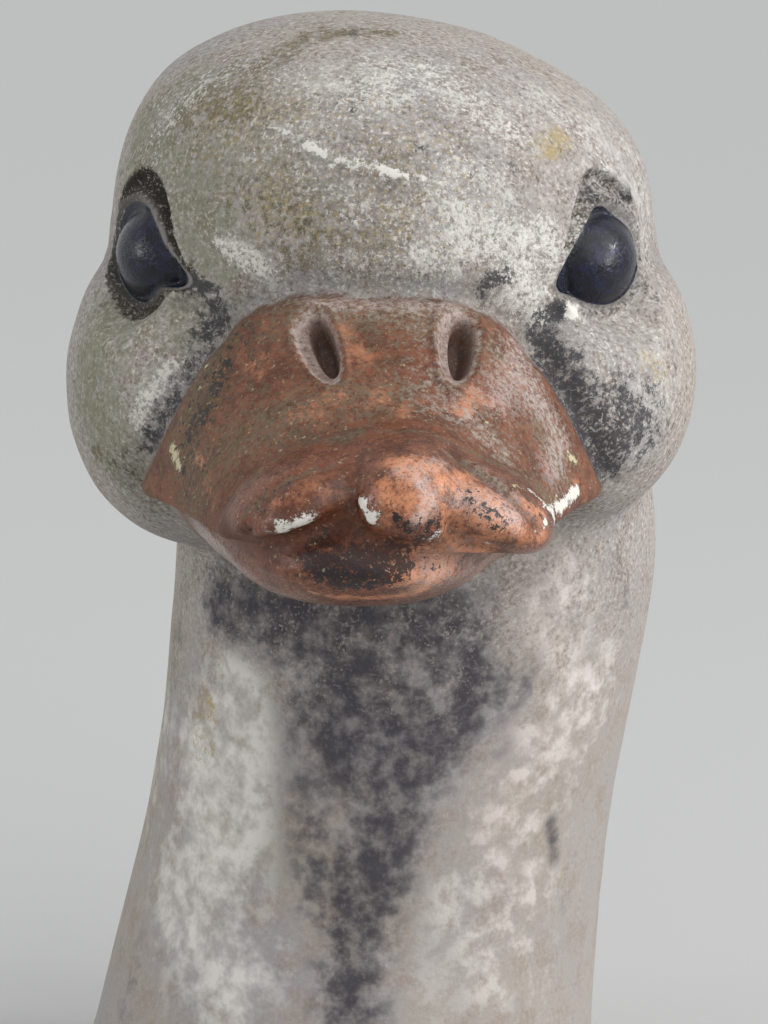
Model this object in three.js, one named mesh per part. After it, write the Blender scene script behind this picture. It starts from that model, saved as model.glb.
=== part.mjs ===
// Garden goose bust: head, bill and neck of a garden goose statue, one casting, cut flat below the neck.
// Millimetres, +Z up. The goose looks along -Y and its left side is +X. The origin is the middle of the
// flat underside. The form is a field, negative inside, made of soft masses. Rays cast out from a line
// inside it find the surface, and the carving is then pushed in or out along the surface's normal.
import * as THREE from 'three';
import { mergeVertices } from 'three/addons/utils/BufferGeometryUtils.js';

// Driving dimensions

const HEAD_X = 10;                 // the head stands this far to the goose's left of the foot's middle

const SKULL = { centre: [0.3, 0.5, 147], radii: [39.6, 43.5, 35.6], powers: [1.85, 2.15, 3.0] };
const CROWN_LEAN = 0.32;           // the top of the crown leans to the goose's right by this slope
const CROWN_LEAN_FROM = 164.8;     // above this height
const CROWN_LEAN_BEND = 8;         // and bends into it over this height on both sides
const CHEEK_POWERS = [2.2, 2.1, 2.1];
const RIGHT_CHEEK = { centre: [-21.8, -6, 130.2], radii: [24, 34, 24.7], powers: CHEEK_POWERS };
const LEFT_CHEEK = { centre: [22, -6, 131.6], radii: [24, 34, 22.8], powers: CHEEK_POWERS };

// Neck: at these heights, its middle and its half widths across and along
const NECK_Z = [0, 22, 40, 53, 67, 77, 90, 100, 130];
const NECK_X = [0, 3.6, 6.3, 8.5, 10.8, 12.5, 14.2, 15.3, 13.5];
const NECK_Y = [0, 2, 3.6, 4.6, 5.4, 5.8, 6, 6, 5];
const NECK_ACROSS = [44.5, 39.8, 37.8, 36.5, 36, 36.1, 36.5, 36.7, 34];
const NECK_ALONG = [49, 42.5, 39, 37.2, 36.4, 36.2, 36.4, 36.7, 34];
const NECK_TOP = 135;

// Upper bill, by the distance forward of the head's middle: its lower edge, its top, the middle of its width
// and its half width
const EDGE_AT = [20, 30, 51, 70, 90];
const EDGE_Z = [121, 121, 122.5, 123.6, 125];
const TOP_AT = [20, 38, 44, 51, 58, 66, 74, 90];
const TOP_Z = [160, 152.6, 149.8, 145.2, 140.6, 136.6, 134.2, 133];
const MIDDLE_AT = [20, 40, 58, 90];
const MIDDLE_X = [-1.8, -1.2, -0.7, -0.3];
const UPPER_AT = [20, 30, 40, 51, 62, 74, 90];
const UPPER_HALF = [36, 34, 31, 26.6, 22.8, 20.4, 19.2];
const NARROW_AT = [20, 40, 60, 80];
const NARROW_BY = [0.35, 0.36, 0.33, 0.3];    // share by which the bill narrows from edge to top
const UPPER_TIP = { from: 62, length: 20, power: 2.4 };

// Lower bill
const LOWER_AT = [20, 40, 62, 80, 90];
const LOWER_Z = [104, 107.8, 112.6, 115.3, 117];
const LOWER_WIDE_AT = [20, 40, 62, 80];
const LOWER_HALF = [30, 25, 18.8, 16.8];
const LOWER_TIP = { from: 60, length: 25, power: 2.2 };
const LOWER_LIP = 8;               // how far the lower bill reaches up inside the upper one
const LOWER_MIDDLE_X = -2.6;
const MOUTH_Z = 124;
const EDGE_ROUNDING = 3;           // height over which the upper bill's edge rounds off
const BILL_ROOT = { from: 30, length: 20 };

// Softness: how wide a zone each pair of masses runs together over
const SOFT = {
  cheeks: 6,
  throat: 6,
  neckTop: 12,
  billRoot: 3.5,
  rimBand: 1.5,
  nail: 4.5,
  lobes: 1.6,
  mouth: 1.2,
};

// Swellings at the bill's tip
const NAIL = { centre: [3.2, -73.8, 131.1], radii: [7.6, 12.2, 6.8], powers: [2.2, 2.2, 2.2] };
const RIM_BAND = { centre: [-10.6, -68.4, 129.6], radii: [12, 12.6, 4.6], roll: -29 };
const RIGHT_LOBE = { centre: [-10.2, -71.8, 129.6], radii: [10.2, 12.2, 5.4], roll: -24 };
const LEFT_LOBE = { centre: [12.2, -71, 129], radii: [10.6, 12.2, 5], roll: 28 };

// Carved lines on the bill's tip: places, depth and half width
const LINES = [
  {
    places: [[-16.9, -80, 126.6], [-14.4, -81.1, 129.8], [-12.2, -80, 132], [-9.8, -79, 133.5],
      [-7.2, -78.6, 134.3], [-4.6, -78.5, 134]],
    depth: 1.2,
    width: 1.8,
  },
  {
    places: [[-4.6, -78.5, 134], [-3.4, -80.5, 131.9], [-2.7, -82.4, 130.1], [-2, -83.6, 128]],
    depth: 1.3,
    width: 1.8,
  },
  {
    places: [[8.2, -75.2, 135.9], [10.8, -76.6, 134.1], [14, -78.3, 132], [17.2, -78.9, 129.5],
      [19.2, -78.6, 126.9]],
    depth: 1.2,
    width: 1.8,
  },
];

// Eyes: the middle of each opening, how far it looks round from the front, in degrees, and the opening's
// radius. This and the lists after it go by the angle round the opening from its front corner, upwards.
const ROUND = [-180, -135, -90, -50, -28, -10, 3, 21, 55, 85, 110, 150, 180];
const RIGHT_EYE = {
  centre: [-32.4, -24.6, 151.2],
  turn: -56,
  forward: 1,
  opening: [6.6, 6, 5.5, 5.4, 6, 9.8, 7.6, 6, 5.5, 6.2, 6.7, 7, 6.6],
};
const LEFT_EYE = {
  centre: [30.6, -27.2, 150.9],
  turn: 50,
  forward: -1,
  opening: [5.7, 5.5, 5.4, 6.3, 7.6, 10, 8.6, 7.5, 7, 7.8, 6.8, 6, 5.7],
};
const LID = [1.8, 1.7, 1.6, 1.5, 1.5, 1.4, 1.1, 0.9, 1, 1.4, 2.4, 3, 1.8];
const LID_RISE = [0.7, 0.6, 0.6, 0.5, 0.4, 0.1, 0.5, 0.8, 0.9, 0.8, 1, 1.3, 0.7];
const LID_CAP = [2.2, 1.4, 0.9, 0.8, 0.8, 1.5, 4, 5, 5, 5, 5, 4, 2.2];   // no lid starts further out
const HOLLOW = [1.4, 1.4, 1.5, 1.4, 1.2, 0.8, 0.9, 1.2, 2.4, 3.6, 3.2, 1.4, 1.4];
const HOLLOW_DEPTH = [0.5, 0.6, 0.7, 0.6, 0.4, 0.2, 0.5, 1.1, 1.8, 2, 1.8, 0.6, 0.5];
const BALL = { half: [8.2, 7.2, 7], sunk: 3.4, floor: -0.9 };

// Nostrils: the middle of each and the way it runs down the bill. Each is a long hole with a raised rim,
// deepest along its left side.
const NOSTRILS = [
  { centre: [-8, -51.6, 143.8], way: [3.4, -9.8, -7] },
  { centre: [10.1, -50.6, 144.2], way: [-0.9, -9.5, -7] },
];
const NOSTRIL = { half: [7.3, 3], taper: 0.08, depth: 3, lean: 0.5, rim: 0.45 };

// Mesh: how many steps go round the form and along it
const AROUND = 70;
const RINGS = 70;
const GUIDE_GAP = 3;               // every third ring sets where the steps round the form lie
const CLOSENESS_AT = [0, 0.12, 0.2, 0.3, 0.36, 0.45, 0.6, 0.72, 1];
const CLOSENESS = [1.9, 1.9, 2.2, 2.5, 2.2, 1.5, 1.1, 0.55, 0.36];
const RIM_FADE = 6;                // the carving fades out over this height above the flat underside

// Small helpers

const clamp = (v, low, high) => Math.min(Math.max(v, low), high);
const above = (v) => Math.max(v, 0);
const bell = (v) => Math.exp(-v * v);
/** Rises from 0 as v does, bending softly over r on both sides of it. */
const ease = (v, r) => (v > r ? v : above(v + r) ** 2 / (4 * r));
const smooth = (v) => { const t = clamp(v, 0, 1); return t * t * (3 - 2 * t); };
const mix = (a, b, t) => a + (b - a) * t;
const dot = (a, b) => a[0] * b[0] + a[1] * b[1] + a[2] * b[2];
const minus = (a, b) => [a[0] - b[0], a[1] - b[1], a[2] - b[2]];
const along = (p, d, r) => [p[0] + d[0] * r, p[1] + d[1] * r, p[2] + d[2] * r];
const unit = (v) => { const l = Math.hypot(...v); return [v[0] / l, v[1] / l, v[2] / l]; };
const cross = (a, b) => [a[1] * b[2] - a[2] * b[1], a[2] * b[0] - a[0] * b[2], a[0] * b[1] - a[1] * b[0]];

/** Slope of a run of values at one of its places, from its two neighbours. */
function slopeAt(places, values, i) {
  const last = places.length - 1;
  if (i === 0) return (values[1] - values[0]) / (places[1] - places[0]);
  if (i === last) return (values[last] - values[last - 1]) / (places[last] - places[last - 1]);
  const before = places[i] - places[i - 1];
  const after = places[i + 1] - places[i];
  return (before * before * values[i + 1] - after * after * values[i - 1]
    + (after * after - before * before) * values[i]) / (before * after * (before + after));
}

/** Smooth curve through values at rising places, level beyond both ends. */
function track(at, places, values) {
  let i = 0;
  while (i < places.length - 2 && at > places[i + 1]) i++;
  const step = places[i + 1] - places[i];
  const t = clamp((at - places[i]) / step, 0, 1);
  const t2 = t * t;
  const t3 = t2 * t;
  return (2 * t3 - 3 * t2 + 1) * values[i] + (t3 - 2 * t2 + t) * step * slopeAt(places, values, i)
    + (3 * t2 - 2 * t3) * values[i + 1] + (t3 - t2) * step * slopeAt(places, values, i + 1);
}

// Masses: each is a field that is about the distance outside it, and negative inside

/** Soft union of two fields. */
function blend(a, b, width) {
  const h = above(width - Math.abs(a - b)) / width;
  return Math.min(a, b) - h * h * width / 4;
}

/** Superellipsoid, rolled about Y by degrees. */
function egg(p, { centre, radii, powers = [2, 2, 2], roll = 0 }) {
  const [dx, y, dz] = minus(p, centre);
  const a = THREE.MathUtils.degToRad(roll);
  const x = dx * Math.cos(a) - dz * Math.sin(a);
  const z = dx * Math.sin(a) + dz * Math.cos(a);
  const q = [x, y, z].map((v, i) => Math.abs(v) / radii[i]);
  const sum = Math.max(q[0] ** powers[0] + q[1] ** powers[1] + q[2] ** powers[2], 1e-9);
  const mean = (powers[0] + powers[1] + powers[2]) / 3;
  const steep = Math.hypot(...q.map((v, i) => v ** (powers[i] - 1) / radii[i])) / sum ** ((mean - 1) / mean);
  return (sum ** (1 / mean) - 1) / Math.max(steep, 0.5 / Math.max(...radii));
}

function skull(p) {
  return egg([p[0] + CROWN_LEAN * ease(p[2] - CROWN_LEAN_FROM, CROWN_LEAN_BEND), p[1], p[2]], SKULL);
}

function neck(p) {
  const across = track(p[2], NECK_Z, NECK_ACROSS);
  const lengthwise = track(p[2], NECK_Z, NECK_ALONG);
  const x = (p[0] + HEAD_X - track(p[2], NECK_Z, NECK_X)) / across;
  const y = (p[1] - track(p[2], NECK_Z, NECK_Y)) / lengthwise;
  return -blend(-(Math.hypot(x, y) - 1) * Math.min(across, lengthwise), NECK_TOP - p[2], SOFT.neckTop);
}

function billRoot(s) {
  return (above(BILL_ROOT.from - s) / BILL_ROOT.length) ** 2;
}

function billTip(s, { from, length, power }) {
  return (above(s - from) / length) ** power;
}

function upperBill(p) {
  const s = -p[1];
  const edge = track(s, EDGE_AT, EDGE_Z);
  const height = track(s, TOP_AT, TOP_Z) - edge;
  const half = track(s, UPPER_AT, UPPER_HALF);
  const up = above(p[2] - edge) / height;
  const down = above(edge - p[2]) / EDGE_ROUNDING;
  const narrow = 1 - track(s, NARROW_AT, NARROW_BY) * Math.min(up, 1.2) ** 1.3;
  const g = (Math.abs(p[0] - track(s, MIDDLE_AT, MIDDLE_X)) / (half * narrow)) ** 3.2 + up ** 2.8 + down ** 2
    + billTip(s, UPPER_TIP) + billRoot(s);
  return (g ** (1 / 2.3) - 1) * Math.min(half, height) * 0.8;
}

function lowerBill(p) {
  const s = -p[1];
  const half = track(s, LOWER_WIDE_AT, LOWER_HALF);
  const down = above(MOUTH_Z - p[2]) / (MOUTH_Z - track(s, LOWER_AT, LOWER_Z));
  const up = above(p[2] - MOUTH_Z) / LOWER_LIP;
  const g = (Math.abs(p[0] - LOWER_MIDDLE_X) / half) ** 2.5 + down ** 2.1 + up ** 2
    + billTip(s, LOWER_TIP) + billRoot(s);
  return (g ** (1 / 2.2) - 1) * Math.min(half, 9) * 0.8;
}

/** All masses at a point, in the head's own place. */
function masses(q) {
  const p = [q[0] - HEAD_X, q[1], q[2]];
  const m = { skull: skull(p), cheeks: Math.min(egg(p, RIGHT_CHEEK), egg(p, LEFT_CHEEK)) };
  m.face = blend(blend(m.skull, m.cheeks, SOFT.cheeks), neck(p), SOFT.throat);
  m.upper = blend(upperBill(p), egg(p, RIM_BAND), SOFT.rimBand);
  m.lobes = Math.min(egg(p, RIGHT_LOBE), egg(p, LEFT_LOBE));
  m.lower = lowerBill(p);
  m.top = blend(blend(m.upper, egg(p, NAIL), SOFT.nail), m.lobes, SOFT.lobes);
  m.bill = blend(m.top, m.lower, SOFT.mouth);
  return m;
}

function form(q) {
  const m = masses(q);
  return blend(m.face, m.bill, SOFT.billRoot);
}

// Carving: how far the surface moves out at a point

/** Groove where two masses meet. */
function crease(a, b, depth, width) {
  return -depth * bell((a - b) / width) * bell(Math.max(Math.abs(a), Math.abs(b)) / 3.5);
}

/** Distance to a line through places. */
function lineDistance(p, places) {
  let best = Infinity;
  for (let i = 1; i < places.length; i++) {
    const step = minus(places[i], places[i - 1]);
    const t = clamp(dot(minus(p, places[i - 1]), step) / dot(step, step), 0, 1);
    best = Math.min(best, Math.hypot(...minus(p, along(places[i - 1], step, t))));
  }
  return best;
}

/** The way that an eye looks. */
function eyeSight({ turn }) {
  const a = THREE.MathUtils.degToRad(turn);
  return [Math.sin(a), -Math.cos(a), 0];
}

/** A place seen along an eye's sight: forward, up and out of its opening, and what lies round it there. */
function eyePlace(p, eye) {
  const sight = eyeSight(eye);
  const d = minus(p, eye.centre);
  const out = dot(d, sight);
  const front = dot(d, [-eye.forward * sight[1], -Math.abs(sight[0]), 0]);
  const up = d[2];
  const angle = THREE.MathUtils.radToDeg(Math.atan2(up, front));
  const past = Math.hypot(front, up) - track(angle, ROUND, eye.opening);
  return { front, up, out, angle, past, lid: track(angle, ROUND, LID), wide: track(angle, ROUND, HOLLOW) };
}

/** How far the surface moves along an eye's sight: bulging ball, lid round it, and hollow round the lid. */
function eyeShift(p, eye) {
  const { front, up, out, angle, past, lid, wide } = eyePlace(p, eye);
  const near = smooth((lid + wide + 4.5 - past) / 1.5) * smooth((9 + out) / 4);
  if (near === 0) return 0;
  const level = Math.min(out, track(angle, ROUND, LID_CAP)) + track(angle, ROUND, LID_RISE);
  const dome = Math.sqrt(above(1 - (front / BALL.half[0]) ** 2 - (up / BALL.half[1]) ** 2));
  const ball = Math.max(BALL.half[2] * dome - BALL.sunk, BALL.floor);
  const share = smooth(past / lid);
  const face = Math.min(ball + 0.4, level) * (1 - share) + level * share;
  const trough = Math.sin(Math.PI * clamp((past - lid) / wide, 0, 1));
  const back = smooth((past - lid) / (wide + 3));
  const outer = mix(level, out, back) - track(angle, ROUND, HOLLOW_DEPTH) * trough;
  const open = smooth((0.8 - past) / 1.6);
  return near * (mix(past < lid ? face : outer, ball, open) - out);
}

/** Share of a place that an eye, its lid and its hollow cover. */
function eyeCover(p, eye) {
  const { out, past, lid, wide } = eyePlace(p, eye);
  return smooth((lid + wide + 1.5 - past) / 2) * smooth((9 + out) / 4);
}

function nostrilCarving(p, { centre, way }) {
  const down = unit(way);
  const side = unit(cross(down, [0, -0.5, 0.8]));
  const d = minus(p, centre);
  const near = smooth((p[2] - 130) / 4) * smooth((12 - Math.hypot(...d)) / 3);
  if (near === 0) return 0;
  const { half, taper, depth, lean, rim } = NOSTRIL;
  const a = dot(d, down);
  const b = dot(d, side) * Math.sign(side[0]);
  const share = Math.sqrt((Math.abs(a) / half[0]) ** 2.3 + (Math.abs(b) / (half[1] - taper * a)) ** 2.3);
  return near * (rim * bell((share - 1.4) / 0.3) - (depth + lean * b) * smooth((1.2 - share) / 0.9));
}

/** How far the surface moves along its normal. */
function carving(p, m) {
  const mouthShows = smooth((m.face - 0.5) / 2);
  const browShows = smooth((10 - p[1]) / 16);
  let h = crease(m.face, m.bill, 2, 3);
  h += crease(m.top, m.lower, 1.4, 2.6) * mouthShows;
  h += crease(m.upper, m.lobes, 0.4, 2);
  h += crease(m.skull, m.cheeks, 1.3, 2.6) * browShows;
  for (const { places, depth, width } of LINES) h -= depth * bell(lineDistance(p, places) / width);
  for (const nostril of NOSTRILS) h += nostrilCarving(p, nostril);
  return h * (1 - eyeCover(p, RIGHT_EYE)) * (1 - eyeCover(p, LEFT_EYE));
}

// Rays: stations on a line from the bill down the neck. Each has its own place x, y, z, then the y and z
// of the places that its upper ray and its lower ray point to.
const STATIONS = [
  [11, -66, 127.5, -66, 150, -66, 100],
  [11, -56, 127.5, -58, 150, -52, 100],
  [11, -44, 128, -50, 152, -42, 98],
  [11, -34, 130, -45, 152, -38, 96],
  [11, -22, 134, -44, 163, -34, 94],
  [11, -11, 137, -36, 174, -32, 92],
  [11, -3, 138, -18, 183, -31, 90],
  [11, 3, 134, 4, 184, -31, 87],
  [11, 5, 128, 24, 177, -32, 84],
  [11, 6, 120, 40, 160, -33, 81],
  [12, 7, 110, 46, 134, -34, 78],
  [13, 6, 98, 43, 108, -35, 74],
  [13.5, 6, 84, 43, 88, -36, 68],
  [12, 5.8, 72, 44, 73, -36, 62],
  [9, 4.8, 54, 44, 54, -36, 50],
  [6.3, 3.6, 38, 44, 38, -36, 37],
  [3.6, 2, 20, 44, 20, -40, 20],
  [0, 0, 0, 44, 0, -44, 0],
];
const STATION_NUMBERS = STATIONS.map((row, i) => i);
const STATION_COLUMNS = STATIONS[0].map((value, i) => STATIONS.map((row) => row[i]));
const TIP_SHARE = 0.1;             // share of the way that fans round the bill's tip
const RAY_LENGTH = 64;

/** Ray for a way from the bill's tip (0) to the underside (1), at an angle round from the top. */
function ray(way, angle) {
  const s = Math.sin(angle);
  const c = Math.cos(angle);
  if (way < TIP_SHARE) {
    const open = Math.PI / 2 * way / TIP_SHARE;
    return { from: STATIONS[0].slice(0, 3), to: [s * Math.sin(open), -Math.cos(open), c * Math.sin(open)] };
  }
  const k = (way - TIP_SHARE) / (1 - TIP_SHARE) * (STATIONS.length - 1);
  const [x, y, z, upY, upZ, lowY, lowZ] = STATION_COLUMNS.map((column) => track(k, STATION_NUMBERS, column));
  const up = unit([0, upY - y, upZ - z]);
  const low = unit([0, lowY - y, lowZ - z]);
  const bend = (i) => c * (up[i] - low[i]) / 2 + c * c * (up[i] + low[i]) / 2;
  return { from: [x, y, z], to: unit([s, bend(1), bend(2)]) };
}

/** Where a ray leaves the form. */
function cast({ from, to }) {
  let inside = 0.5;
  let outside = RAY_LENGTH;
  for (let r = 2; r < RAY_LENGTH; r += 2) {
    if (form(along(from, to, r)) > 0) {
      outside = r;
      break;
    }
    inside = r;
  }
  for (let i = 0; i < 12; i++) {
    const middle = (inside + outside) / 2;
    if (form(along(from, to, middle)) < 0) inside = middle;
    else outside = middle;
  }
  return along(from, to, (inside + outside) / 2);
}

function normalAt(q) {
  const e = 0.15;
  return unit([0, 1, 2].map((i) => {
    const step = [0, 0, 0];
    step[i] = e;
    return form(along(q, step, 1)) - form(along(q, step, -1));
  }));
}

/** Where a place on the form lies once it is carved. */
function carved(q) {
  const p = [q[0] - HEAD_X, q[1], q[2]];
  const depth = carving(p, masses(q)) * smooth(q[2] / RIM_FADE);
  let place = along(q, normalAt(q), depth);
  for (const eye of [RIGHT_EYE, LEFT_EYE]) place = along(place, eyeSight(eye), eyeShift(p, eye));
  return place;
}

/** Value at a place in a rising list, with its partner list: straight between its two neighbours. */
function readOff(value, rising, partner) {
  let i = 1;
  while (i < rising.length - 1 && rising[i] < value) i++;
  const t = clamp((value - rising[i - 1]) / (rising[i] - rising[i - 1]), 0, 1);
  return mix(partner[i - 1], partner[i], t);
}

/** Ways for the rings, so that they lie evenly on the surface, and closer on the bill and the face. */
function ringWays(rings) {
  const dense = 160;
  const probes = 8;
  const ways = Array.from({ length: dense + 1 }, (unused, i) => i / dense);
  const hits = ways.map((way) => Array.from({ length: probes },
    (unused, j) => cast(ray(way, j / probes * 2 * Math.PI))));
  const run = [0];
  for (let i = 1; i <= dense; i++) {
    const square = hits[i].reduce((sum, hit, j) => sum + Math.hypot(...minus(hit, hits[i - 1][j])) ** 2, 0);
    const closeness = track(ways[i], CLOSENESS_AT, CLOSENESS);
    run.push(run[i - 1] + Math.sqrt(square / probes) * closeness);
  }
  return Array.from({ length: rings }, (unused, i) => readOff(run[dense] * (i + 1) / rings, run, ways));
}

/** How close the mesh's points lie at a place: closer at the eyes, nostrils and grooves, wide on the nape. */
function fineness(q) {
  const p = [q[0] - HEAD_X, q[1], q[2]];
  const m = masses(q);
  const near = ({ centre }, reach) => bell(Math.hypot(...minus(p, centre)) / reach);
  const eyes = near(RIGHT_EYE, 12) + near(LEFT_EYE, 12);
  const nostrils = near(NOSTRILS[0], 7) + near(NOSTRILS[1], 7);
  const grooves = -crease(m.face, m.bill, 1, 6) - crease(m.top, m.lower, 1, 5) * smooth((m.face - 0.5) / 2);
  return 1 + 2 * eyes + 1.2 * nostrils + 1.6 * grooves - 0.45 * smooth((q[1] + 5) / 15);
}

/** Angles of a ring's steps, evenly spaced round the form but closer where the mesh is fine. */
function stepAngles(way) {
  const dense = 240;
  const angles = Array.from({ length: dense + 1 }, (unused, i) => i / dense * 2 * Math.PI);
  const hits = angles.map((angle) => cast(ray(way, angle)));
  const run = [0];
  for (let i = 1; i <= dense; i++) {
    run.push(run[i - 1] + Math.hypot(...minus(hits[i], hits[i - 1])) * fineness(hits[i]));
  }
  return Array.from({ length: AROUND }, (unused, i) => readOff(run[dense] * i / AROUND, run, angles));
}

/** The whole surface as rows of places, from the bill's tip to the middle of the underside. */
function rows() {
  const ways = ringWays(RINGS);
  const guides = ways.filter((way, i) => i % GUIDE_GAP === 0 || i === RINGS - 1);
  const guideAngles = guides.map(stepAngles);
  const columns = Array.from({ length: AROUND }, (unused, i) => guideAngles.map((angles) => angles[i]));
  const list = [[carved(cast(ray(0, 0)))]];
  for (const way of ways) {
    list.push(columns.map((column) => carved(cast(ray(way, readOff(way, guides, column))))));
  }
  const foot = list[RINGS];
  for (const place of foot) place[2] = 0;
  const middle = [0, 1, 2].map((i) => foot.reduce((sum, place) => sum + place[i], 0) / AROUND);
  list.push([middle]);
  return list;
}

/** Turns the seam across each net square to the way that bends the surface less there. */
function turnSeams(geometry) {
  const points = geometry.attributes.position;
  const corners = geometry.index.array;
  const place = (i) => new THREE.Vector3().fromBufferAttribute(points, i);
  const facing = (a, b, c) => new THREE.Triangle(place(a), place(b), place(c)).getNormal(new THREE.Vector3());
  for (let i = AROUND * 3; i + 6 <= corners.length - AROUND * 3; i += 6) {
    const [a, b, d, , c] = corners.slice(i, i + 6);
    const asBuilt = facing(a, b, d).dot(facing(b, c, d));
    const turned = facing(a, b, c).dot(facing(a, c, d));
    if (turned > asBuilt) corners.set([a, b, c, a, c, d], i);
  }
}

/** A sphere's net, with each of its points moved onto the goose. */
function gooseGeometry() {
  const places = rows();
  const sphere = new THREE.SphereGeometry(1, AROUND, places.length - 1);
  sphere.deleteAttribute('normal');
  sphere.deleteAttribute('uv');
  const points = sphere.attributes.position;
  for (let i = 0; i < points.count; i++) {
    const row = places[Math.floor(i / (AROUND + 1))];
    const step = AROUND - i % (AROUND + 1);
    points.setXYZ(i, ...row[step % row.length]);
  }
  const geometry = mergeVertices(sphere);
  turnSeams(geometry);
  geometry.computeVertexNormals();
  return geometry;
}

const stone = new THREE.MeshStandardMaterial({ color: '#a29a93', roughness: 0.85, metalness: 0 });

const goose = new THREE.Group();
const bust = new THREE.Mesh(gooseGeometry(), stone);
bust.name = 'goose_bust';
goose.add(bust);

export default goose;
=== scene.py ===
"""Garden goose bust: a weathered cast-stone head, bill and neck, painted and cut flat below the neck.

The bust is one casting. A sphere's net is moved onto the goose's form, made finer at the eyes, nostrils
and bill, settled on the form and carved. Its one material follows marks that are kept at the net's points.
Sizes are in millimetres until they reach the mesh. The goose looks along -Y and its left side is +X.
"""
import math
from typing import NamedTuple

import bpy
import numpy as np
from bpy.props import FloatProperty, FloatVectorProperty, IntProperty, PointerProperty
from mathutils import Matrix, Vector


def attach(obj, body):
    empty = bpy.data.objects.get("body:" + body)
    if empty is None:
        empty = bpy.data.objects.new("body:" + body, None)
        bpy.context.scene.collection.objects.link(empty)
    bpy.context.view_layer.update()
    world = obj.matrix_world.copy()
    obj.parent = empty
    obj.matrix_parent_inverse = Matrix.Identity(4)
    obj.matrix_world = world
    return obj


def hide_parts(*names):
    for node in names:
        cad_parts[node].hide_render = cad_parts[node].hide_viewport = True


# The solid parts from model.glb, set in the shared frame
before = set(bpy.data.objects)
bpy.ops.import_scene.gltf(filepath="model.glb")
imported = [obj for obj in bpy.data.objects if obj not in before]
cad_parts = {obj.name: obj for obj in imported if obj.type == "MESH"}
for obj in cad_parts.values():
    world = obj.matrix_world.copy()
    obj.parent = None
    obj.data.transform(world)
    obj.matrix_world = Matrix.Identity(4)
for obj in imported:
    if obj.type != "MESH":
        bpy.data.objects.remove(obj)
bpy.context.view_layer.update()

bl_info = {
    "name": "Garden Goose Bust",
    "version": (1, 0, 0),
    "blender": (4, 5, 0),
    "location": "3D Viewport > Sidebar > Goose",
    "description": "Builds a weathered garden goose bust and a plain stage for it",
    "category": "Object",
}

MM = 0.001
NODE = "goose_bust"


def linear(code):
    """Linear colour from an sRGB hex code."""
    parts = [int(code[i:i + 2], 16) / 255 for i in (1, 3, 5)]
    return tuple(v / 12.92 if v <= 0.04045 else ((v + 0.055) / 1.055) ** 2.4 for v in parts)


def paint(name, code, description):
    """A colour that a user may change."""
    return FloatVectorProperty(
        name=name, description=description, default=linear(code), size=3, min=0, max=1, subtype="COLOR")


def length(name, millimetres, description):
    """A length that a user may change."""
    return FloatProperty(
        name=name, description=description, default=millimetres * MM, unit="LENGTH", subtype="DISTANCE")


# Sizes and colours that a user may change

class GooseSizes(bpy.types.PropertyGroup):
    """Sizes of the bust's net, carving and surface."""
    steps_round: IntProperty(name="Steps round", description="Net steps round the form", default=250, min=60)
    rings: IntProperty(
        name="Rings", description="Net rings from the bill's tip to the foot", default=225, min=60)
    foot_bevel: length("Foot bevel", 0.7, "Worn edge round the flat underside")
    bill_crease: length("Bill crease", 2.0, "Depth of the groove between the face and the bill")
    mouth_crease: length("Mouth crease", 1.5, "Depth of the groove between the upper and the lower bill")
    brow_crease: length("Brow crease", 1.3, "Depth of the groove between the skull and the cheeks")
    flake_rise: length("Flake rise", 0.2, "Thickness of the loose flakes of old paint")
    lump_rise: length("Unevenness", 0.16, "Height of the casting's soft unevenness")
    grain: length("Grain", 0.75, "Size of the chalky grain that shows on the worn paint")


class GooseColours(bpy.types.PropertyGroup):
    """Colours of the bust's paint, bare casting and stains."""
    stone: paint("Stone", "#a1998f", "Weathered grey paint over the casting")
    stone_cool: paint("Cool stone", "#9c9797", "Cooler, bluish patches of the grey")
    stone_warm: paint("Warm stone", "#95877b", "Sandy casting that shows through the grey")
    stone_dark: paint("Dark grain", "#5a5148", "Dark grains and pits in the grey")
    stone_light: paint("Light grain", "#d8d3cc", "Chalky grains in the grey")
    film: paint("Green film", "#77755f", "Thin green-grey film on the goose's right side")
    chalk: paint("Chalk", "#e0dcd6", "Chalky remains of white paint")
    # Black stains; the same colour paints shade in the grooves and under the brow
    soot: paint("Soot", "#303036", "Black weather stains")
    # Runs down the neck; the same colour paints the shade under the bill
    drip: paint("Drips", "#3b3840", "Softer grey runs down the neck")
    moss: paint("Moss", "#665b37", "Olive growth")
    ochre: paint("Ochre", "#a8935f", "Yellow-ochre growth")
    # Pinkish chalk; the same colour paints highlights on the nail and the goose's left lobe
    blush: paint("Blush", "#dccbc6", "Pinkish chalk")
    terracotta: paint("Terracotta", "#7c4a33", "Brown-orange paint of the bill")
    # Older dark paint; the same colour paints shade in the bill's grooves
    dark_terracotta_and_shade: paint("Dark terracotta", "#4a2718", "Deeper, older paint of the bill")
    # Cleaner orange paint; the same colour paints small glints beside the nail
    bare: paint("Fresh terracotta", "#d69069", "Cleaner orange paint of the bill")
    # Dust; made dark enough to stand also for the shade on the bill's left side
    dust: paint("Dust", "#6f6553", "Grey-olive dust on the bill")
    black: paint("Black", "#17171c", "Black crust and specks on the bill")
    eye: paint("Eye", "#080c14", "Blue-black glaze of the eyes")
    eye_blue: paint("Eye blue", "#20264a", "Worn, bluer glaze of the eyes")
    # Dirt and painted shade in the eyes' hollows, darker where deeper; also painted shade in the nostrils'
    # slots
    hollow: paint("Hollow", "#221c13", "Dirt in the hollows round the eyes")
    # The lids' crest: worn paint, and a painted highlight along the ridge
    lid: paint("Lid", "#7c7875", "Worn crest of the lids")
    flake: paint("Flake", "#e4e0d8", "White flakes of old paint")
    putty: paint("Putty", "#c4bb98", "Cream flakes and lichen flecks")


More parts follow.
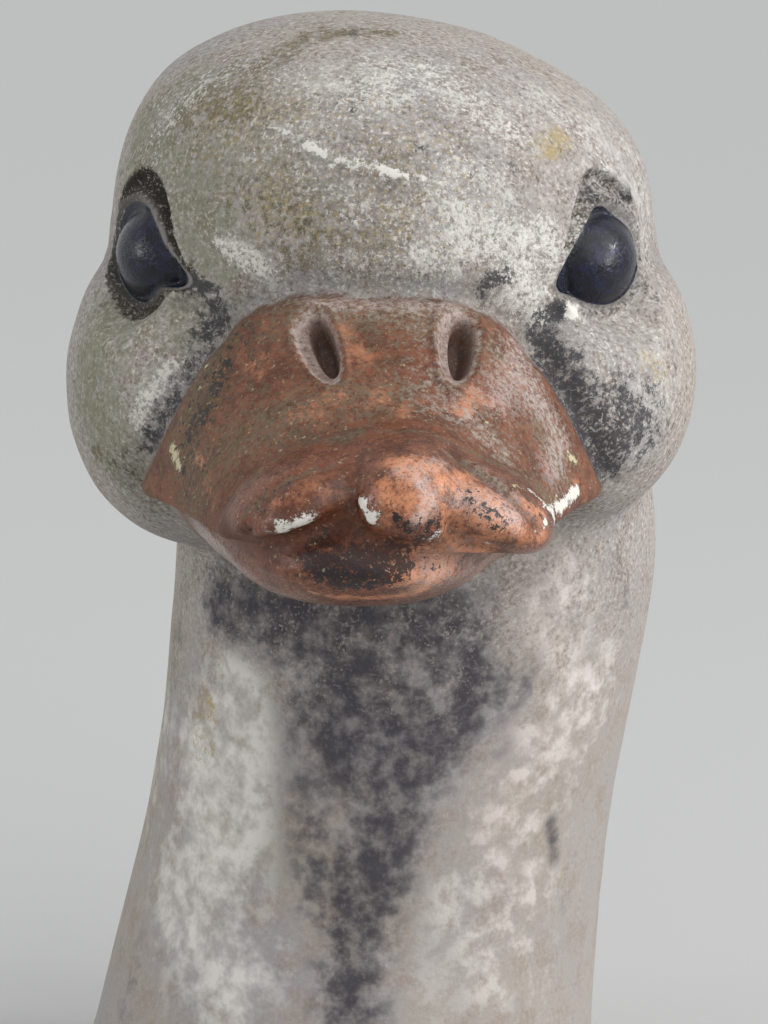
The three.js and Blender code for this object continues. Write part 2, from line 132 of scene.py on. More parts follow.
class StageSizes(bpy.types.PropertyGroup):
    """Floor, light and camera."""
    floor: length("Floor", 14000, "Width of the floor")
    floor_colour: paint("Floor colour", "#bfbfbe", "Plain pale floor")
    air: FloatProperty(name="Air light", description="Strength of the light from all round", default=0.66)
    key: FloatProperty(name="Key light", description="Strength of the main soft light", default=1.6)
    key_width: FloatProperty(
        name="Key width", description="How wide the main light is across the sky",
        default=math.radians(75), unit="ROTATION", subtype="ANGLE")
    window: FloatProperty(
        name="Window", description="Power of the windows that the eyes mirror", default=0.7, unit="POWER")
    lens: FloatProperty(name="Lens", description="Focal length", default=100.0, unit="CAMERA")
    look_down: FloatProperty(
        name="Look down", description="How far the camera looks down",
        default=math.radians(15), unit="ROTATION", subtype="ANGLE")


# Form: the same named sizes as the solid part. The head's are measured from its own middle, which stands
# HEAD_X to the left of the neck's foot. Blends and creases are given by how wide they are.

HEAD_X = 10.0

SKULL = {"centre": (0.3, 0.5, 147), "radii": (39.6, 43.5, 35.6), "powers": (1.85, 2.15, 3.0)}
CROWN_LEAN = 0.32
CROWN_LEAN_FROM = 164.8
CROWN_LEAN_BEND = 8
CHEEK_POWERS = (2.2, 2.1, 2.1)
RIGHT_CHEEK = {"centre": (-21.8, -6, 130.2), "radii": (24, 34, 24.7), "powers": CHEEK_POWERS}
LEFT_CHEEK = {"centre": (22, -6, 131.6), "radii": (24, 34, 22.8), "powers": CHEEK_POWERS}

NECK_Z = (0, 22, 40, 53, 67, 77, 90, 100, 130)
NECK_X = (0, 3.6, 6.3, 8.5, 10.8, 12.5, 14.2, 15.3, 13.5)
NECK_Y = (0, 2, 3.6, 4.6, 5.4, 5.8, 6, 6, 5)
NECK_ACROSS = (44.5, 39.8, 37.8, 36.5, 36, 36.1, 36.5, 36.7, 34)
NECK_ALONG = (49, 42.5, 39, 37.2, 36.4, 36.2, 36.4, 36.7, 34)
NECK_TOP = 135

EDGE_AT = (20, 30, 51, 70, 90)
EDGE_Z = (121, 121, 122.5, 123.6, 125)
TOP_AT = (20, 38, 44, 51, 58, 66, 74, 90)
TOP_Z = (160, 152.6, 149.8, 145.2, 140.6, 136.6, 134.2, 133)
MIDDLE_AT = (20, 40, 58, 90)
MIDDLE_X = (-1.8, -1.2, -0.7, -0.3)
UPPER_AT = (20, 30, 40, 51, 62, 74, 90)
UPPER_HALF = (36, 34, 31, 26.6, 22.8, 20.4, 19.2)
NARROW_AT = (20, 40, 60, 80)
NARROW_BY = (0.35, 0.36, 0.33, 0.3)
NARROW_TO = 1.2
NARROW_BEND = 1.3
UPPER_POWERS = {"across": 3.2, "up": 2.8, "down": 2, "all": 2.3}
UPPER_TIP = {"from": 62, "length": 20, "power": 2.4}

LOWER_AT = (20, 40, 62, 80, 90)
LOWER_Z = (104, 107.8, 112.6, 115.3, 117)
LOWER_WIDE_AT = (20, 40, 62, 80)
LOWER_HALF = (30, 25, 18.8, 16.8)
LOWER_TIP = {"from": 60, "length": 25, "power": 2.2}
LOWER_DEEP = 9
LOWER_LIP = 8
LOWER_MIDDLE_X = -2.6
LOWER_POWERS = {"across": 2.5, "up": 2, "down": 2.1, "all": 2.2}
MOUTH_Z = 124
EDGE_ROUNDING = 3
BILL_ROOT = {"from": 30, "length": 20}
BILL_STEEPNESS = 0.8

SOFT = {"cheeks": 6, "throat": 4, "neck_top": 12, "bill_root": 3.5, "rim_band": 1.5, "nail": 4.5,
        "lobes": 1.6, "mouth": 1.2}

NAIL = {"centre": (3.2, -73.8, 131.1), "radii": (7.6, 12.2, 6.8), "powers": (2.2, 2.2, 2.2)}
RIM_BAND = {"centre": (-10.6, -68.4, 129.6), "radii": (12, 12.6, 4.6), "roll": -29}
RIGHT_LOBE = {"centre": (-10.2, -71.8, 129.6), "radii": (10.2, 12.2, 5.4), "roll": -24}
LEFT_LOBE = {"centre": (12.2, -71, 129), "radii": (10.6, 12.2, 5), "roll": 28}

# Grooves where two masses meet: half widths, how far from the joint they reach, and two small depths
CREASE_HALF = {"bill": 2.2, "mouth": 1.0, "lobes": 1.0, "band": 0.9, "brow": 2.6}
CREASE_REACH = 3.5
LOBE_CREASE = 0.5
BAND_CREASE = 0.4

# The mouth's groove begins outside the face, and the brow's ends towards the back of the head
MOUTH_CREASE_START = {"from": 0.5, "run": 2}
BROW_CREASE_END = {"at": 10, "run": 16}

# Carved lines on the bill's tip: depth, half width, places
LINES = (
    (1.2, 0.85, (-16.9, -80, 126.6), (-14.4, -81.1, 129.8), (-12.2, -80, 132), (-9.8, -79, 133.5),
     (-7.2, -78.6, 134.3), (-4.6, -78.5, 134)),
    (1.3, 0.9, (-4.6, -78.5, 134), (-3.4, -80.5, 131.9), (-2.7, -82.4, 130.1), (-2, -83.6, 128)),
    (1.1, 0.9, (8.2, -75.2, 135.9), (10.8, -76.6, 134.1), (14, -78.3, 132), (17.2, -78.9, 129.5),
     (19.2, -78.6, 126.9)),
    (0.4, 1.1, (9.6, -80.7, 132.6), (9.8, -82.9, 130.2), (8.6, -84, 127.9)),
)

# Eyes: the lists go by the angle round the opening from its front corner upwards
ROUND = (-180, -135, -90, -50, -28, -10, 3, 21, 55, 85, 110, 150, 180)
EYES = (
    {"centre": (-32.4, -24.6, 151.2), "turn": -56, "forward": 1, "dirt_and_shade": 1.0, "glaze": 0.5,
     "worn": (0.1, 0.1, 0.1, 0.2, 0.4, 0.8, 0.8, 0.9, 0.9, 0.8, 0.4, 0.2, 0.1),
     "opening": (6.6, 6, 5.5, 5.4, 6, 9.8, 7.6, 6, 5.5, 6.2, 6.7, 7, 6.6)},
    {"centre": (30.6, -27.2, 150.9), "turn": 50, "forward": -1, "dirt_and_shade": 0.35, "glaze": 0.1,
     "worn": (0.6, 0.5, 0.5, 0.5, 0.5, 0.6, 0.5, 0.4, 0.3, 0.3, 0.5, 0.6, 0.6),
     "opening": (5.7, 5.5, 5.4, 6.3, 7.6, 10, 8.6, 7.5, 7, 7.8, 6.8, 6, 5.7)},
)
LID = (1.8, 1.7, 1.6, 1.5, 1.5, 1.4, 1.1, 0.9, 1, 1.4, 2.4, 3, 1.8)
LID_RISE = (0.7, 0.6, 0.6, 0.5, 0.4, 0.1, 0.5, 0.8, 0.9, 0.8, 1, 1.3, 0.7)
LID_CAP = (2.2, 1.4, 0.9, 0.8, 0.8, 1.5, 4, 5, 5, 5, 5, 4, 2.2)
HOLLOW = (1.4, 1.4, 1.5, 1.4, 1.2, 0.8, 0.9, 1.2, 2.4, 3.6, 3.2, 1.4, 1.4)
HOLLOW_DEPTH = (0.5, 0.6, 0.7, 0.6, 0.4, 0.2, 0.5, 1.3, 2.3, 2.7, 2.4, 0.6, 0.5)
BALL = {"half": (8.2, 7.2, 7), "sunk": 3.4, "floor": -0.9}

# The lid's lip on the ball, and how the eye's carving ends round it and behind it
LIP = {"step": 0.4, "edge": 0.15, "trough_power": 0.85, "back": 3, "fade_from": 4.5, "fade": 1.5}
EYE_DEPTH = 9
EYE_SIDE_FADE = 4
EYE_COVER = {"past": 1.5, "fade": 2}

# Marks at the eyes: depth of a hollow whose dirt and painted shade are full, then shares of the way out over
# the lid, which ends at 1, and the hollow, which ends at 2
EYE_MARKS = {"full_hollow": 1.2, "dirt_and_shade_end": 2.3, "dirt_and_shade_fade": 0.5, "crest": 0.25, "crest_end": 3}

# Nostrils: a shallow dish with a raised rim, and a deep slot along its left side
NOSTRILS = (((-8, -51.6, 143.8), (3.4, -9.8, -7)), ((10.1, -50.6, 144.2), (-0.9, -9.5, -7)))
DISH = {"half": (7.3, 2.8), "taper": 0.08, "depth": 1.3, "edge": 1.02, "bank": 0.45, "mark_bank": 0.4,
        "rim": 0.4, "rim_at": 1.16, "rim_half": 0.16}
SLOT = {"half": (5.6, 1.7), "taper": 0.04, "depth": 2.8, "edge": 1.05, "bank": 0.6, "mark_bank": 0.5,
        "shift": (-0.6, 0.75)}
HOLE_POWER = 2.3
HOLE_MARK_EDGE = 1.2
NOSTRIL_UP = (0, -0.5, 0.8)
NOSTRIL_ZONE = {"lowest": 130, "rise": 4, "reach": 12, "fade": 3}

# The casting's unevenness: share, size of the lumps, seed. The lumps repeat after LUMP_GRID of them.
UNEVENNESS = ((1, 13.0, 5), (0.5, 5.0, 6))
LUMP_GRID = 24
FLAKE_EDGE = 0.5

# Rays: stations on a line from the bill down the neck. Each has its own place x, y, z, then the y and z
# of the places that its upper ray and its lower ray point to.
STATIONS = (
    (11, -66, 127.5, -66, 150, -66, 100),
    (11, -56, 127.5, -58, 150, -52, 100),
    (11, -44, 128, -50, 152, -42, 98),
    (11, -34, 130, -45, 152, -38, 96),
    (11, -22, 134, -44, 163, -34, 94),
    (11, -11, 137, -36, 174, -32, 92),
    (11, -3, 138, -18, 183, -31, 90),
    (11, 3, 134, 4, 184, -31, 87),
    (11, 5, 128, 24, 177, -32, 84),
    (11, 6, 120, 40, 160, -33, 81),
    (12, 7, 110, 46, 134, -34, 78),
    (13, 6, 98, 43, 108, -35, 74),
    (13.5, 6, 84, 43, 88, -36, 68),
    (12, 5.8, 72, 44, 73, -36, 62),
    (9, 4.8, 54, 44, 54, -36, 50),
    (6.3, 3.6, 38, 44, 38, -36, 37),
    (3.6, 2, 20, 44, 20, -40, 20),
    (0, 0, 0, 44, 0, -44, 0),
)

# Share of the way that the fan of rays at the bill's tip takes, and how far the rays are followed. Then, how
# close the rings lie along the way.
TIP_SHARE = 0.1
RAY_LENGTH = 64
CLOSENESS_AT = (0, 0.12, 0.2, 0.3, 0.36, 0.45, 0.6, 0.72, 1)
CLOSENESS = (1.7, 1.8, 1.9, 2.0, 1.7, 1.3, 1.0, 0.6, 0.5)

# Rings of the flat underside, and how far out the second and the last of them lie. Below so many bevels the
# net isn't moved, and up to RIM_FADE above the cut the surface grows rough.
FOOT_RINGS = 5
FOOT_SHARES = (0.85, 0.2)
FOOT_BEVELS = 1.5
RIM_FADE = 6

# Where the net is closer: centre and reach, and by how much. It is wider behind. Then, how far from each
# kind of detail it is made finer.
CLOSER = [(eye["centre"], 13) for eye in EYES] + [(centre, 8) for centre, _ in NOSTRILS]
CLOSER_BY = 0.8
WIDER = {"by": 0.5, "from": -5, "run": 15}
DETAIL = {"eye": 5.5, "eye_depth": 7, "nostril": 9, "line": 2.5, "mouth": 1.6, "flake": 0.9}

# Stains with soft edges, by kind: strength, reach and the places they run through. Some rows are painted
# shade or painted highlights
SOFT_STAINS = {
    "film": (
        (1, 10.4, (-28.4, -25.5, 141.2), (-30.1, -29.2, 132), (-24.7, -32.9, 122.9)),
        (1, 8.7, (-23.1, -15.5, 167.7), (-25, -20.5, 158.6)),
        (0.95, 7.6, (-15.9, -29.7, 162.8), (-12.4, -34.7, 154)),
        (0.8, 8.2, (-17.3, -35.1, 143.1), (-19.6, -31.1, 146.5)),
        (0.6, 6.6, (-18.4, -8.1, 102.8), (-21.3, -2.9, 88.7), (-22.2, -3.2, 79.3)),
        (1, 9.4, (-20.6, -20.1, 168.3), (-16.4, -19.2, 173.7)),
        (0.75, 9.4, (-7.6, -32.2, 169.9), (-2, -38.7, 162.7)),
        (0.45, 8.2, (-2.4, -22.9, 178.2)),
        (0.35, 6.6, (4.6, -41.9, 157.9), (15.2, -42, 156.6)),
    ),
    "blush": (
        (0.8, 8.9, (33.4, -25.7, 104.9), (36.6, -22.9, 92)),
        (0.8, 8, (32.4, -24.7, 80.4), (27.3, -27, 68.9), (30.4, -24.9, 58.7)),
        (0.85, 1.6, (-1.1, -27.7, 77.7), (1.2, -28.6, 76.2)),
        (0.5, 7.4, (40.7, -18.1, 84.3), (39.3, -18.8, 78.3)),
        (0.45, 6.6, (24.5, -29.3, 48), (32.1, -24.5, 42.6)),
        (0.8, 1.9, (-7.6, -37.4, 146.8), (2, -45.2, 148.9), (9.9, -44.8, 148.8), (17.8, -45.1, 148.5),
         (25.4, -38.8, 146.3)),
        (0.9, 1.5, (26.5, -38.4, 145.5), (28.4, -37.9, 143.2), (29.9, -37.6, 140.8)),
        (0.8, 4.5, (30.4, -48.5, 136.4), (33.8, -48.2, 130.9), (32.1, -55.6, 128.6)),
        (0.75, 4.5, (28.6, -43.1, 142), (25.5, -54.4, 137.7)),
        (0.6, 3.8, (21.4, -61.2, 136.6), (25.2, -63.7, 132.6)),
        (0.5, 5.2, (17.8, -49, 144.5), (16.3, -60.1, 139)),
        (0.4, 3.9, (12.5, -46.6, 148.1), (6, -46.7, 148.1)),
        # Painted highlights: the window's reflection down the nail and on the goose's left lobe
        (1, 1.6, (14.8, -84.5, 134.5), (15.8, -85.2, 132.9), (15.5, -86, 131.1), (14.4, -86.3, 130)),
        (0.95, 2.9, (20.8, -82.2, 131.6), (25.7, -81.4, 129.5)),
        (0.7, 2.2, (12.4, -83.4, 135.6), (17.2, -80.7, 136)),
        (0.6, 2.7, (16, -82, 124), (19.7, -80.6, 124.9)),
        (0.45, 2.4, (-7.6, -37.2, 147.6), (-10.4, -36.1, 144.7)),
        (0.7, 3.7, (14.8, -82.9, 122.3), (21.1, -75, 122)),
        (0.55, 3.2, (22.2, -76, 133.8), (25.9, -78.3, 130.6)),
        (0.5, 5.5, (38.8, -23.3, 166), (34.2, -32.5, 160.4)),
        (0.5, 2.1, (24.7, -39, 148), (21.9, -40.3, 147.8)),
    ),
    "wash": (
        (1.4, 7, (-11.3, -20.4, 86.6), (-9.8, -22.4, 79.6), (-10.7, -23.2, 70.6)),
        (1.3, 9.2, (-16.1, -17, 74.6), (-14.5, -21.8, 62.2)),
        (1.05, 11.1, (-20.1, -18.5, 52.9), (-12.2, -28.9, 44.6)),
        (0.6, 7.7, (-22.2, -3.2, 79.3), (-26, 1.4, 61.3)),
        (0.5, 13.2, (33.1, -24.2, 80.2), (31.9, -23.9, 61.5), (26, -29.2, 43.2)),
        (0.6, 8.7, (37.2, -23.5, 101.3), (42.3, -16.6, 86.9)),
        (0.55, 9.8, (40.5, -19.2, 166.8), (47.5, -13.6, 157.5), (32, -21.3, 172.6)),
        (0.6, 8.3, (46.6, -27.9, 141.6), (47, -33.5, 130.2)),
        (0.4, 9.4, (3.1, -26.9, 177.3), (16.6, -32.9, 172.6)),
        (0.85, 0.71, (9.9, -30.2, 96.6), (10, -30.2, 93.2)),
        (0.6, 3.8, (-1.7, -27.4, 78.3), (1.2, -28.8, 74.3)),
        (0.6, 5.8, (18.6, -30.7, 58), (18.6, -32.2, 46.1)),
        (0.45, 8, (25.9, -38.5, 157.4), (17.9, -40.9, 160.4)),
        (0.35, 5.5, (-27.7, -26.1, 141.3), (-24.4, -35.5, 129.2)),
    ),
    # Runs down the neck; the rows under the bill and on the throat also stand for the shade there (painted
    # shade)
    "drip": (
        (1.3, 6.6, (-13.2, -17, 99.3), (-7.1, -22.8, 98.4), (-1.6, -26.3, 98.4)),
        (0.95, 6.5, (2.8, -28.1, 99), (12.7, -30.2, 100.4), (19.8, -30.3, 98.1)),
        (1, 6.8, (20.5, -30.1, 95.1), (24.4, -28.9, 90.2), (19.2, -29.8, 83), (12, -30.3, 85.4)),
        (1.15, 8, (7.7, -29.8, 89.8), (7, -29.8, 80.7)),
        (1.1, 6.6, (13, -30.3, 77.9), (11.3, -30.7, 70.4), (9.6, -31.5, 61.5)),
        (1, 6.7, (6.7, -31.8, 57.7), (5.8, -33.1, 49.7), (5.5, -34.7, 42.5)),
        (0.7, 6.1, (-0.9, -27.4, 85.2), (-1.7, -28, 72.4), (1.9, -30.7, 60.3)),
        (0.85, 2.2, (35.1, -21.3, 66), (35.7, -20.4, 60.7)),
        (0.5, 3.2, (40.5, -19.5, 92.5), (41.9, -18.8, 96.8)),
        (0.6, 2.3, (29.7, -25.5, 60.2)),
        (0.45, 3, (37.6, -17.9, 51.8)),
        (0.5, 2.4, (30.6, -26.3, 39.4)),
        (0.6, 3.7, (31.1, -26.3, 90.9), (29.3, -26.9, 87.3)),
        (0.55, 2.6, (27.9, -26.9, 79.4)),
        (0.45, 5.2, (-26, -12.6, 46.3), (-28.2, -16, 34.6)),
        (0.5, 3.9, (-20.7, -4.6, 89.3), (-21.4, -5.1, 81.5)),
        (0.5, 3.8, (43.3, -17.6, 105.6), (45.9, -13.8, 98.4)),
        (0.4, 4.4, (18.6, -31.5, 50.5), (20.1, -32.2, 43)),
        (0.6, 4, (0.1, -80.5, 119.8), (15.5, -29.9, 102.6)),
        (0.5, 2.8, (26.9, -28.2, 104.2), (32.7, -25.8, 105.7)),
    ),
    "moss": (
        (0.45, 3.4, (-2.1, -40.4, 153.4), (5.9, -42.4, 155.3), (16.5, -42, 153.6)),
        (0.5, 3.5, (5.2, -34.1, 172.8), (7.9, -37.7, 169.3), (15.2, -39.5, 165.5)),
        (0.35, 6.7, (-7.5, -36.6, 161.1), (3.3, -41.1, 160.4)),
        (0.8, 3, (-16.6, -21.5, 172.2), (-12.8, -21.7, 175), (-10, -19.7, 177.2), (-6.3, -22.6, 177.4),
         (-2.5, -18.5, 179.7), (1.5, -12.8, 181.4)),
        (0.7, 2.4, (-12.6, -26.9, 171.6), (-8.8, -29, 172.4)),
        (0.85, 2.5, (2.2, -16, 180.8), (12, -13.8, 181)),
        (0.7, 1.7, (-23.9, -18.7, 162.3), (-21.9, -20, 161.1)),
        (0.6, 5.5, (-20.5, -21.5, 167.1), (-13.4, -24.4, 173)),
        (0.45, 5.4, (-7.8, -26.8, 174.6), (-0.8, -32.8, 172.6)),
        (0.5, 2.9, (16.6, -34.4, 171.5), (21.9, -36, 167.7)),
        (0.6, 1.4, (26.6, -14.9, 177)),
        (0.45, 4.5, (7.9, -40.3, 165), (9.9, -42.4, 157.3)),
        (0.5, 2.8, (18.9, -19, 178.5)),
        (0.5, 2.1, (3.3, -41.8, 152.8), (9.9, -42.5, 152.4), (17.9, -41.7, 152.5)),
        (0.6, 1.3, (21.9, -40.3, 150.2)),
        (0.6, 1.9, (-30.4, -27.1, 124.3), (-22.5, -38.9, 121.6)),
        (0.8, 1.4, (-21.3, -42, 121.7), (-21.2, -30.3, 116.2)),
        (0.7, 1.2, (-13.2, -42.8, 139.2), (-14.5, -44.4, 136.4), (-15.8, -45, 133.8)),
        (0.6, 1.3, (-11.2, -42.6, 141.6), (-10.1, -36.3, 144.7)),
        (0.6, 1.2, (35.1, -32.5, 151.8), (36, -32.2, 153.6)),
        (0.5, 2.3, (-28.8, -7.1, 154.4), (-26.5, -24.2, 150.5)),
        (0.9, 1.3, (-26.9, -20.8, 146.6), (-25.4, -21.8, 145.8)),
        (0.45, 2.9, (-16.7, -12, 104), (-10.4, -19.1, 103.7)),
        (0.5, 1.7, (40.8, -29.5, 146.2), (44, -25.7, 146.8)),
        (0.3, 7.9, (-0.7, -38.7, 164.1), (15.2, -41, 161.8)),
        (0.75, 3.2, (-15.2, -48.3, 132), (-11.9, -48.3, 137)),
        (0.6, 2.7, (-10.7, -44.8, 141), (-9.8, -43.5, 142.7)),
        (0.5, 3.9, (-12.8, -56.7, 128.9), (-6.8, -59.4, 134.9)),
    ),
    "ochre": (
        (1, 2.5, (32.4, -29.8, 166.8), (34.8, -25.7, 168.2)),
        (0.7, 1.3, (26.6, -14.9, 177)),
        (0.6, 3, (46.5, -32.2, 138.7), (48.8, -30.8, 135.9)),
        (0.5, 1.9, (45.5, -35.1, 133.3)),
        (0.95, 0.74, (-15, -18, 76.5)),
        (0.8, 0.74, (-14.9, -16.9, 83)),
        (0.6, 3.6, (-16.9, -15, 79.8), (-16.6, -16.2, 75.8)),
        (0.5, 2.5, (36.4, -17.1, 171.4)),
        (0.7, 0.95, (35.3, -32.5, 151.8)),
        (0.5, 1.9, (48.8, -27, 141.5)),
        (0.45, 9.4, (-11.8, -28.5, 170.7), (3.2, -33.8, 172.7), (16.6, -35.7, 170.3)),
        (0.4, 1.9, (45.2, -32.4, 122.8)),
        (0.5, 8, (-4.7, -38.3, 160), (7.3, -42.1, 158.6), (20.5, -40.5, 158.4)),
        (0.8, 1.2, (-16, -15.2, 84.9), (-14.5, -17.8, 81.1)),
    ),
    "chalk": (
        (0.42, 4.7, (-21.9, -22.3, 163.1), (-18.5, -20.2, 171.1), (-11.4, -21.1, 176)),
        (0.6, 2.9, (3.3, -41.9, 153.6), (11.2, -42.6, 154.3), (17.9, -41.8, 153.6)),
        (0.7, 3.2, (16.5, -41.9, 155.2), (21.9, -40.5, 155.7), (28, -38, 152.9)),
        (0.5, 3.4, (7.3, -41.7, 160.5), (12.6, -41.9, 159.9)),
        (0.55, 3.4, (-0.7, -38.7, 164.1), (5.9, -40.8, 163.1)),
        (0.42, 5.5, (-20.7, -18.4, 169.5), (-15, -19.8, 174.5), (-8.1, -18.1, 178.4)),
        (0.62, 6.2, (-2.3, -27.2, 176.3), (5.9, -31.5, 174.9)),
        (0.55, 4.1, (9.9, -24.3, 178.4), (10.6, -31.9, 174.5)),
        (0.7, 6, (16, -25.1, 177.1), (22, -29.8, 172.9), (27.4, -30.7, 169.7)),
        (0.55, 5.5, (32, -21.3, 172.6), (38.9, -21.5, 167.1)),
        (0.8, 4.3, (17.9, -40.7, 161), (23.9, -39.3, 158.1), (28.7, -37.2, 156.5)),
        (0.95, 2.7, (32.1, -35.1, 156.5), (33.7, -34.8, 153.2)),
        (0.65, 2.7, (25.9, -36.5, 163.8), (19.9, -38.1, 166)),
        (0.9, 1.1, (41.4, -22.5, 163.5), (38.7, -24.9, 161.4), (37.2, -28.8, 159.3), (36.7, -31, 157.1),
         (35.4, -33.1, 154.1), (34.8, -32.7, 151.2)),
        (0.95, 2.3, (-11.4, -35.3, 155), (-8.9, -37, 154.1), (-5.9, -38.8, 152.3)),
        (0.8, 1.7, (-4.1, -39.1, 150.6), (-1.9, -40, 149.5)),
        (0.85, 2.4, (26, -38.6, 147.9), (31.5, -36.3, 148.8), (28.7, -37.7, 150.7)),
        (0.6, 2.4, (4.6, -41.6, 150.5), (12.6, -42.1, 151), (19.2, -41.1, 151.1)),
        (0.8, 1.1, (30.2, -37, 144.4), (31.1, -39.5, 138.9), (33.6, -43, 135.1), (37.1, -38.7, 130)),
        (0.95, 1.9, (-18.2, -36.9, 138.9), (-19.6, -37.4, 136.2), (-21.4, -37.2, 134.5),
         (-22.4, -36.9, 132.8), (-23.3, -36.3, 130.4)),
        (0.6, 3.4, (47.3, -16.7, 151.9), (50.7, -17.3, 145.3)),
        (0.55, 3.8, (38.5, -34.5, 143), (40.4, -37.2, 138)),
        (0.5, 4.1, (45.9, -28.1, 141.7), (48.5, -31.8, 132.6)),
        (0.5, 4, (-2.1, -35.1, 169.6), (-7.5, -34.6, 166.2)),
        (0.6, 0.96, (10.6, -85.9, 130.1), (13.6, -83.3, 135.6)),
        (0.45, 6.6, (3.3, -36, 170.4), (15.2, -38, 168)),
        (0.9, 1.6, (32.2, -36.1, 144.9), (28.8, -37.6, 146.1)),
    ),
    "soot": (
        (0.35, 4, (5.2, -33.5, 173.4), (9.9, -36.7, 170.5)),
        (0.45, 1.9, (17.9, -41.2, 150.4), (12.6, -42.1, 150.2)),
        (0.7, 1.6, (6.3, -32.8, 174)),
        (0.6, 1.5, (10.8, -30.4, 175.4)),
        (0.5, 2.4, (15.2, -38, 168)),
        (0.4, 2.9, (3.7, -40.3, 163.4)),
        (0.4, 2.9, (10.8, -40.7, 164)),
        (0.5, 3.2, (27.7, -34.3, 165.7)),
        (0.5, 1.8, (5.7, -15.6, 181.1), (8.5, -13.4, 181.4)),
        # A faint painted shade along the brow over the bill
        (0.15, 1.7, (-11, -35.8, 149), (-5.9, -38.4, 150.2), (-0.8, -40.4, 151.5), (5.9, -41.9, 151.2),
         (12.6, -42.2, 151.7), (17.9, -41.3, 150.8), (23, -40, 149.9)),
        (0.85, 1.9, (24.6, -39.7, 151.2), (23.3, -39.8, 149.5), (27.1, -38.5, 151.5)),
        (1, 1.2, (-15.5, -33.3, 149.1), (-12.7, -35, 148.6)),
        (1.3, 1.6, (32, -36.2, 145), (33.8, -35.3, 145.9)),
        (1.4, 2.2, (31.7, -36.6, 143), (33.4, -37.8, 140.2)),
        (1.3, 2.6, (33.1, -38.9, 137), (34.8, -38.2, 139.6)),
        (1.3, 3, (35.9, -38.8, 134.9), (38.7, -38.5, 130.6), (40.8, -37.4, 127.6)),
        (1.1, 2.5, (37.6, -41.8, 127.7), (40.9, -35.1, 123.5)),
        (0.8, 4.4, (44.1, -36.1, 129.4), (41.8, -37.5, 133.9)),
        (0.5, 5.2, (47.2, -32.7, 127.1), (47.7, -32.8, 132.8)),
        (0.5, 2.2, (46.1, -24, 147.2), (49.1, -22.5, 144.8)),
        (1.2, 1.5, (-12.2, -35.2, 146.4), (-13.2, -36.3, 141.3), (-15.1, -38.6, 137.2),
         (-18.4, -37.9, 133.3), (-21.5, -36.7, 128.8), (-23.1, -35, 125.2)),
        (1.1, 2.4, (-12.5, -35, 145.5), (-17.5, -38, 134.3), (-21.3, -36.7, 128.1)),
        (0.7, 1.7, (-22.2, -31.3, 117.8), (-20.3, -29, 114.7)),
        (0.45, 3.1, (-26.8, -32.3, 124.9), (-24.9, -31.7, 121.2)),
        (0.7, 1.9, (40.3, -22.8, 161.1), (44, -20.7, 159.3)),
        (0.75, 1.2, (39.5, -26.3, 160.6), (37.4, -31, 157.2)),
        (0.45, 1.9, (34.4, -28, 166.6)),
        (0.7, 2, (-27, -17.7, 154.6), (-28, -16.6, 150.9), (-27.2, -20, 147.9)),
        (0.8, 1.4, (-25.9, -21.6, 145.8), (-21.9, -27.6, 146.1)),
        (0.6, 1.6, (-16, -32.4, 151.1), (-14.5, -33.9, 149.2)),
        (0.7, 1.6, (-19.6, -30.1, 148.4), (-16.7, -33, 148.2)),
        (0.25, 5.3, (-7.5, -36.9, 159.8), (3.3, -41.8, 156.6)),
        (0.4, 2.3, (-28.8, -20.3, 144.4), (-27.2, -11, 160)),
        (0.5, 1.4, (44.7, -25.4, 153.8), (44.3, -25.4, 146.8)),
        (0.4, 1.6, (40.2, -29.4, 145.3), (35.7, -33.7, 147.2)),
    ),
    "bare": (
        (0.45, 3.7, (-5.5, -51.6, 140.8), (-6.6, -46.7, 143.4)),
        (0.5, 3.6, (7.7, -52.6, 144), (6, -49.7, 146)),
        (0.5, 3.3, (13.7, -63, 138.1), (9.9, -60.6, 139.1)),
        (0.6, 2.4, (25.4, -45.5, 143.8), (27.1, -47.5, 140.9)),
        (0.7, 2.8, (22.8, -56.8, 138.2), (19.5, -61.5, 137.3)),
        (0.6, 2.1, (-12.8, -57.7, 127.8), (-11.2, -62.6, 126.4)),
        (1.2, 0.91, (-14.3, -53.1, 129.5), (-13.4, -55.1, 129.3)),
        (1.2, 1.1, (26.6, -77.7, 130.9), (28.4, -77.6, 129.5), (30.4, -76, 127.7)),
        (1.5, 3.4, (13, -83.7, 123.5), (17.3, -81, 124), (20.7, -80.1, 124.7)),
        # Painted glints beside the nail
        (1, 0.96, (10.2, -84.4, 134.2), (11.5, -85.7, 133)),
        (1.1, 0.67, (31.1, -35.4, 157.9)),
        (1.35, 3.3, (20.3, -81.3, 132.6), (24.5, -82.5, 129.2)),
        (1.1, 2.6, (17.2, -82.6, 134.8), (12.4, -82.6, 136.1)),
        (1, 3.1, (11.8, -85.9, 132.6), (17.2, -85, 130.5)),
        (0.9, 1.5, (1.4, -81, 119.6), (10, -80.6, 118.8), (16.1, -80.1, 120)),
        (0.5, 4.3, (4.8, -60.5, 139.1), (-0.3, -60.8, 137.8)),
        (0.9, 1.2, (35.8, -49.1, 124.9), (35.3, -26.6, 114)),
        (0.6, 1.7, (-3.4, -81.8, 130.9), (3.9, -81.7, 132.7)),
        (0.8, 1.5, (24.5, -82.8, 128), (29.6, -78.3, 126.1)),
    ),
    "dust": (
        # The dust on the bill's left side is also painted shade: that side is darker partly from the light
        (1, 5.8, (-10.7, -37, 142.8), (-14.1, -44.3, 137), (-16.4, -47.1, 130.9), (-14.2, -56.8, 124.9)),
        (0.8, 5.9, (-2.8, -61.9, 136.1), (-8.1, -59.6, 133.6)),
        (0.95, 1.5, (-9.5, -70.9, 127.3), (-6.1, -74.6, 131.9), (-2.5, -70.7, 134.1), (1.4, -67.7, 135.2),
         (5.6, -70, 136.6)),
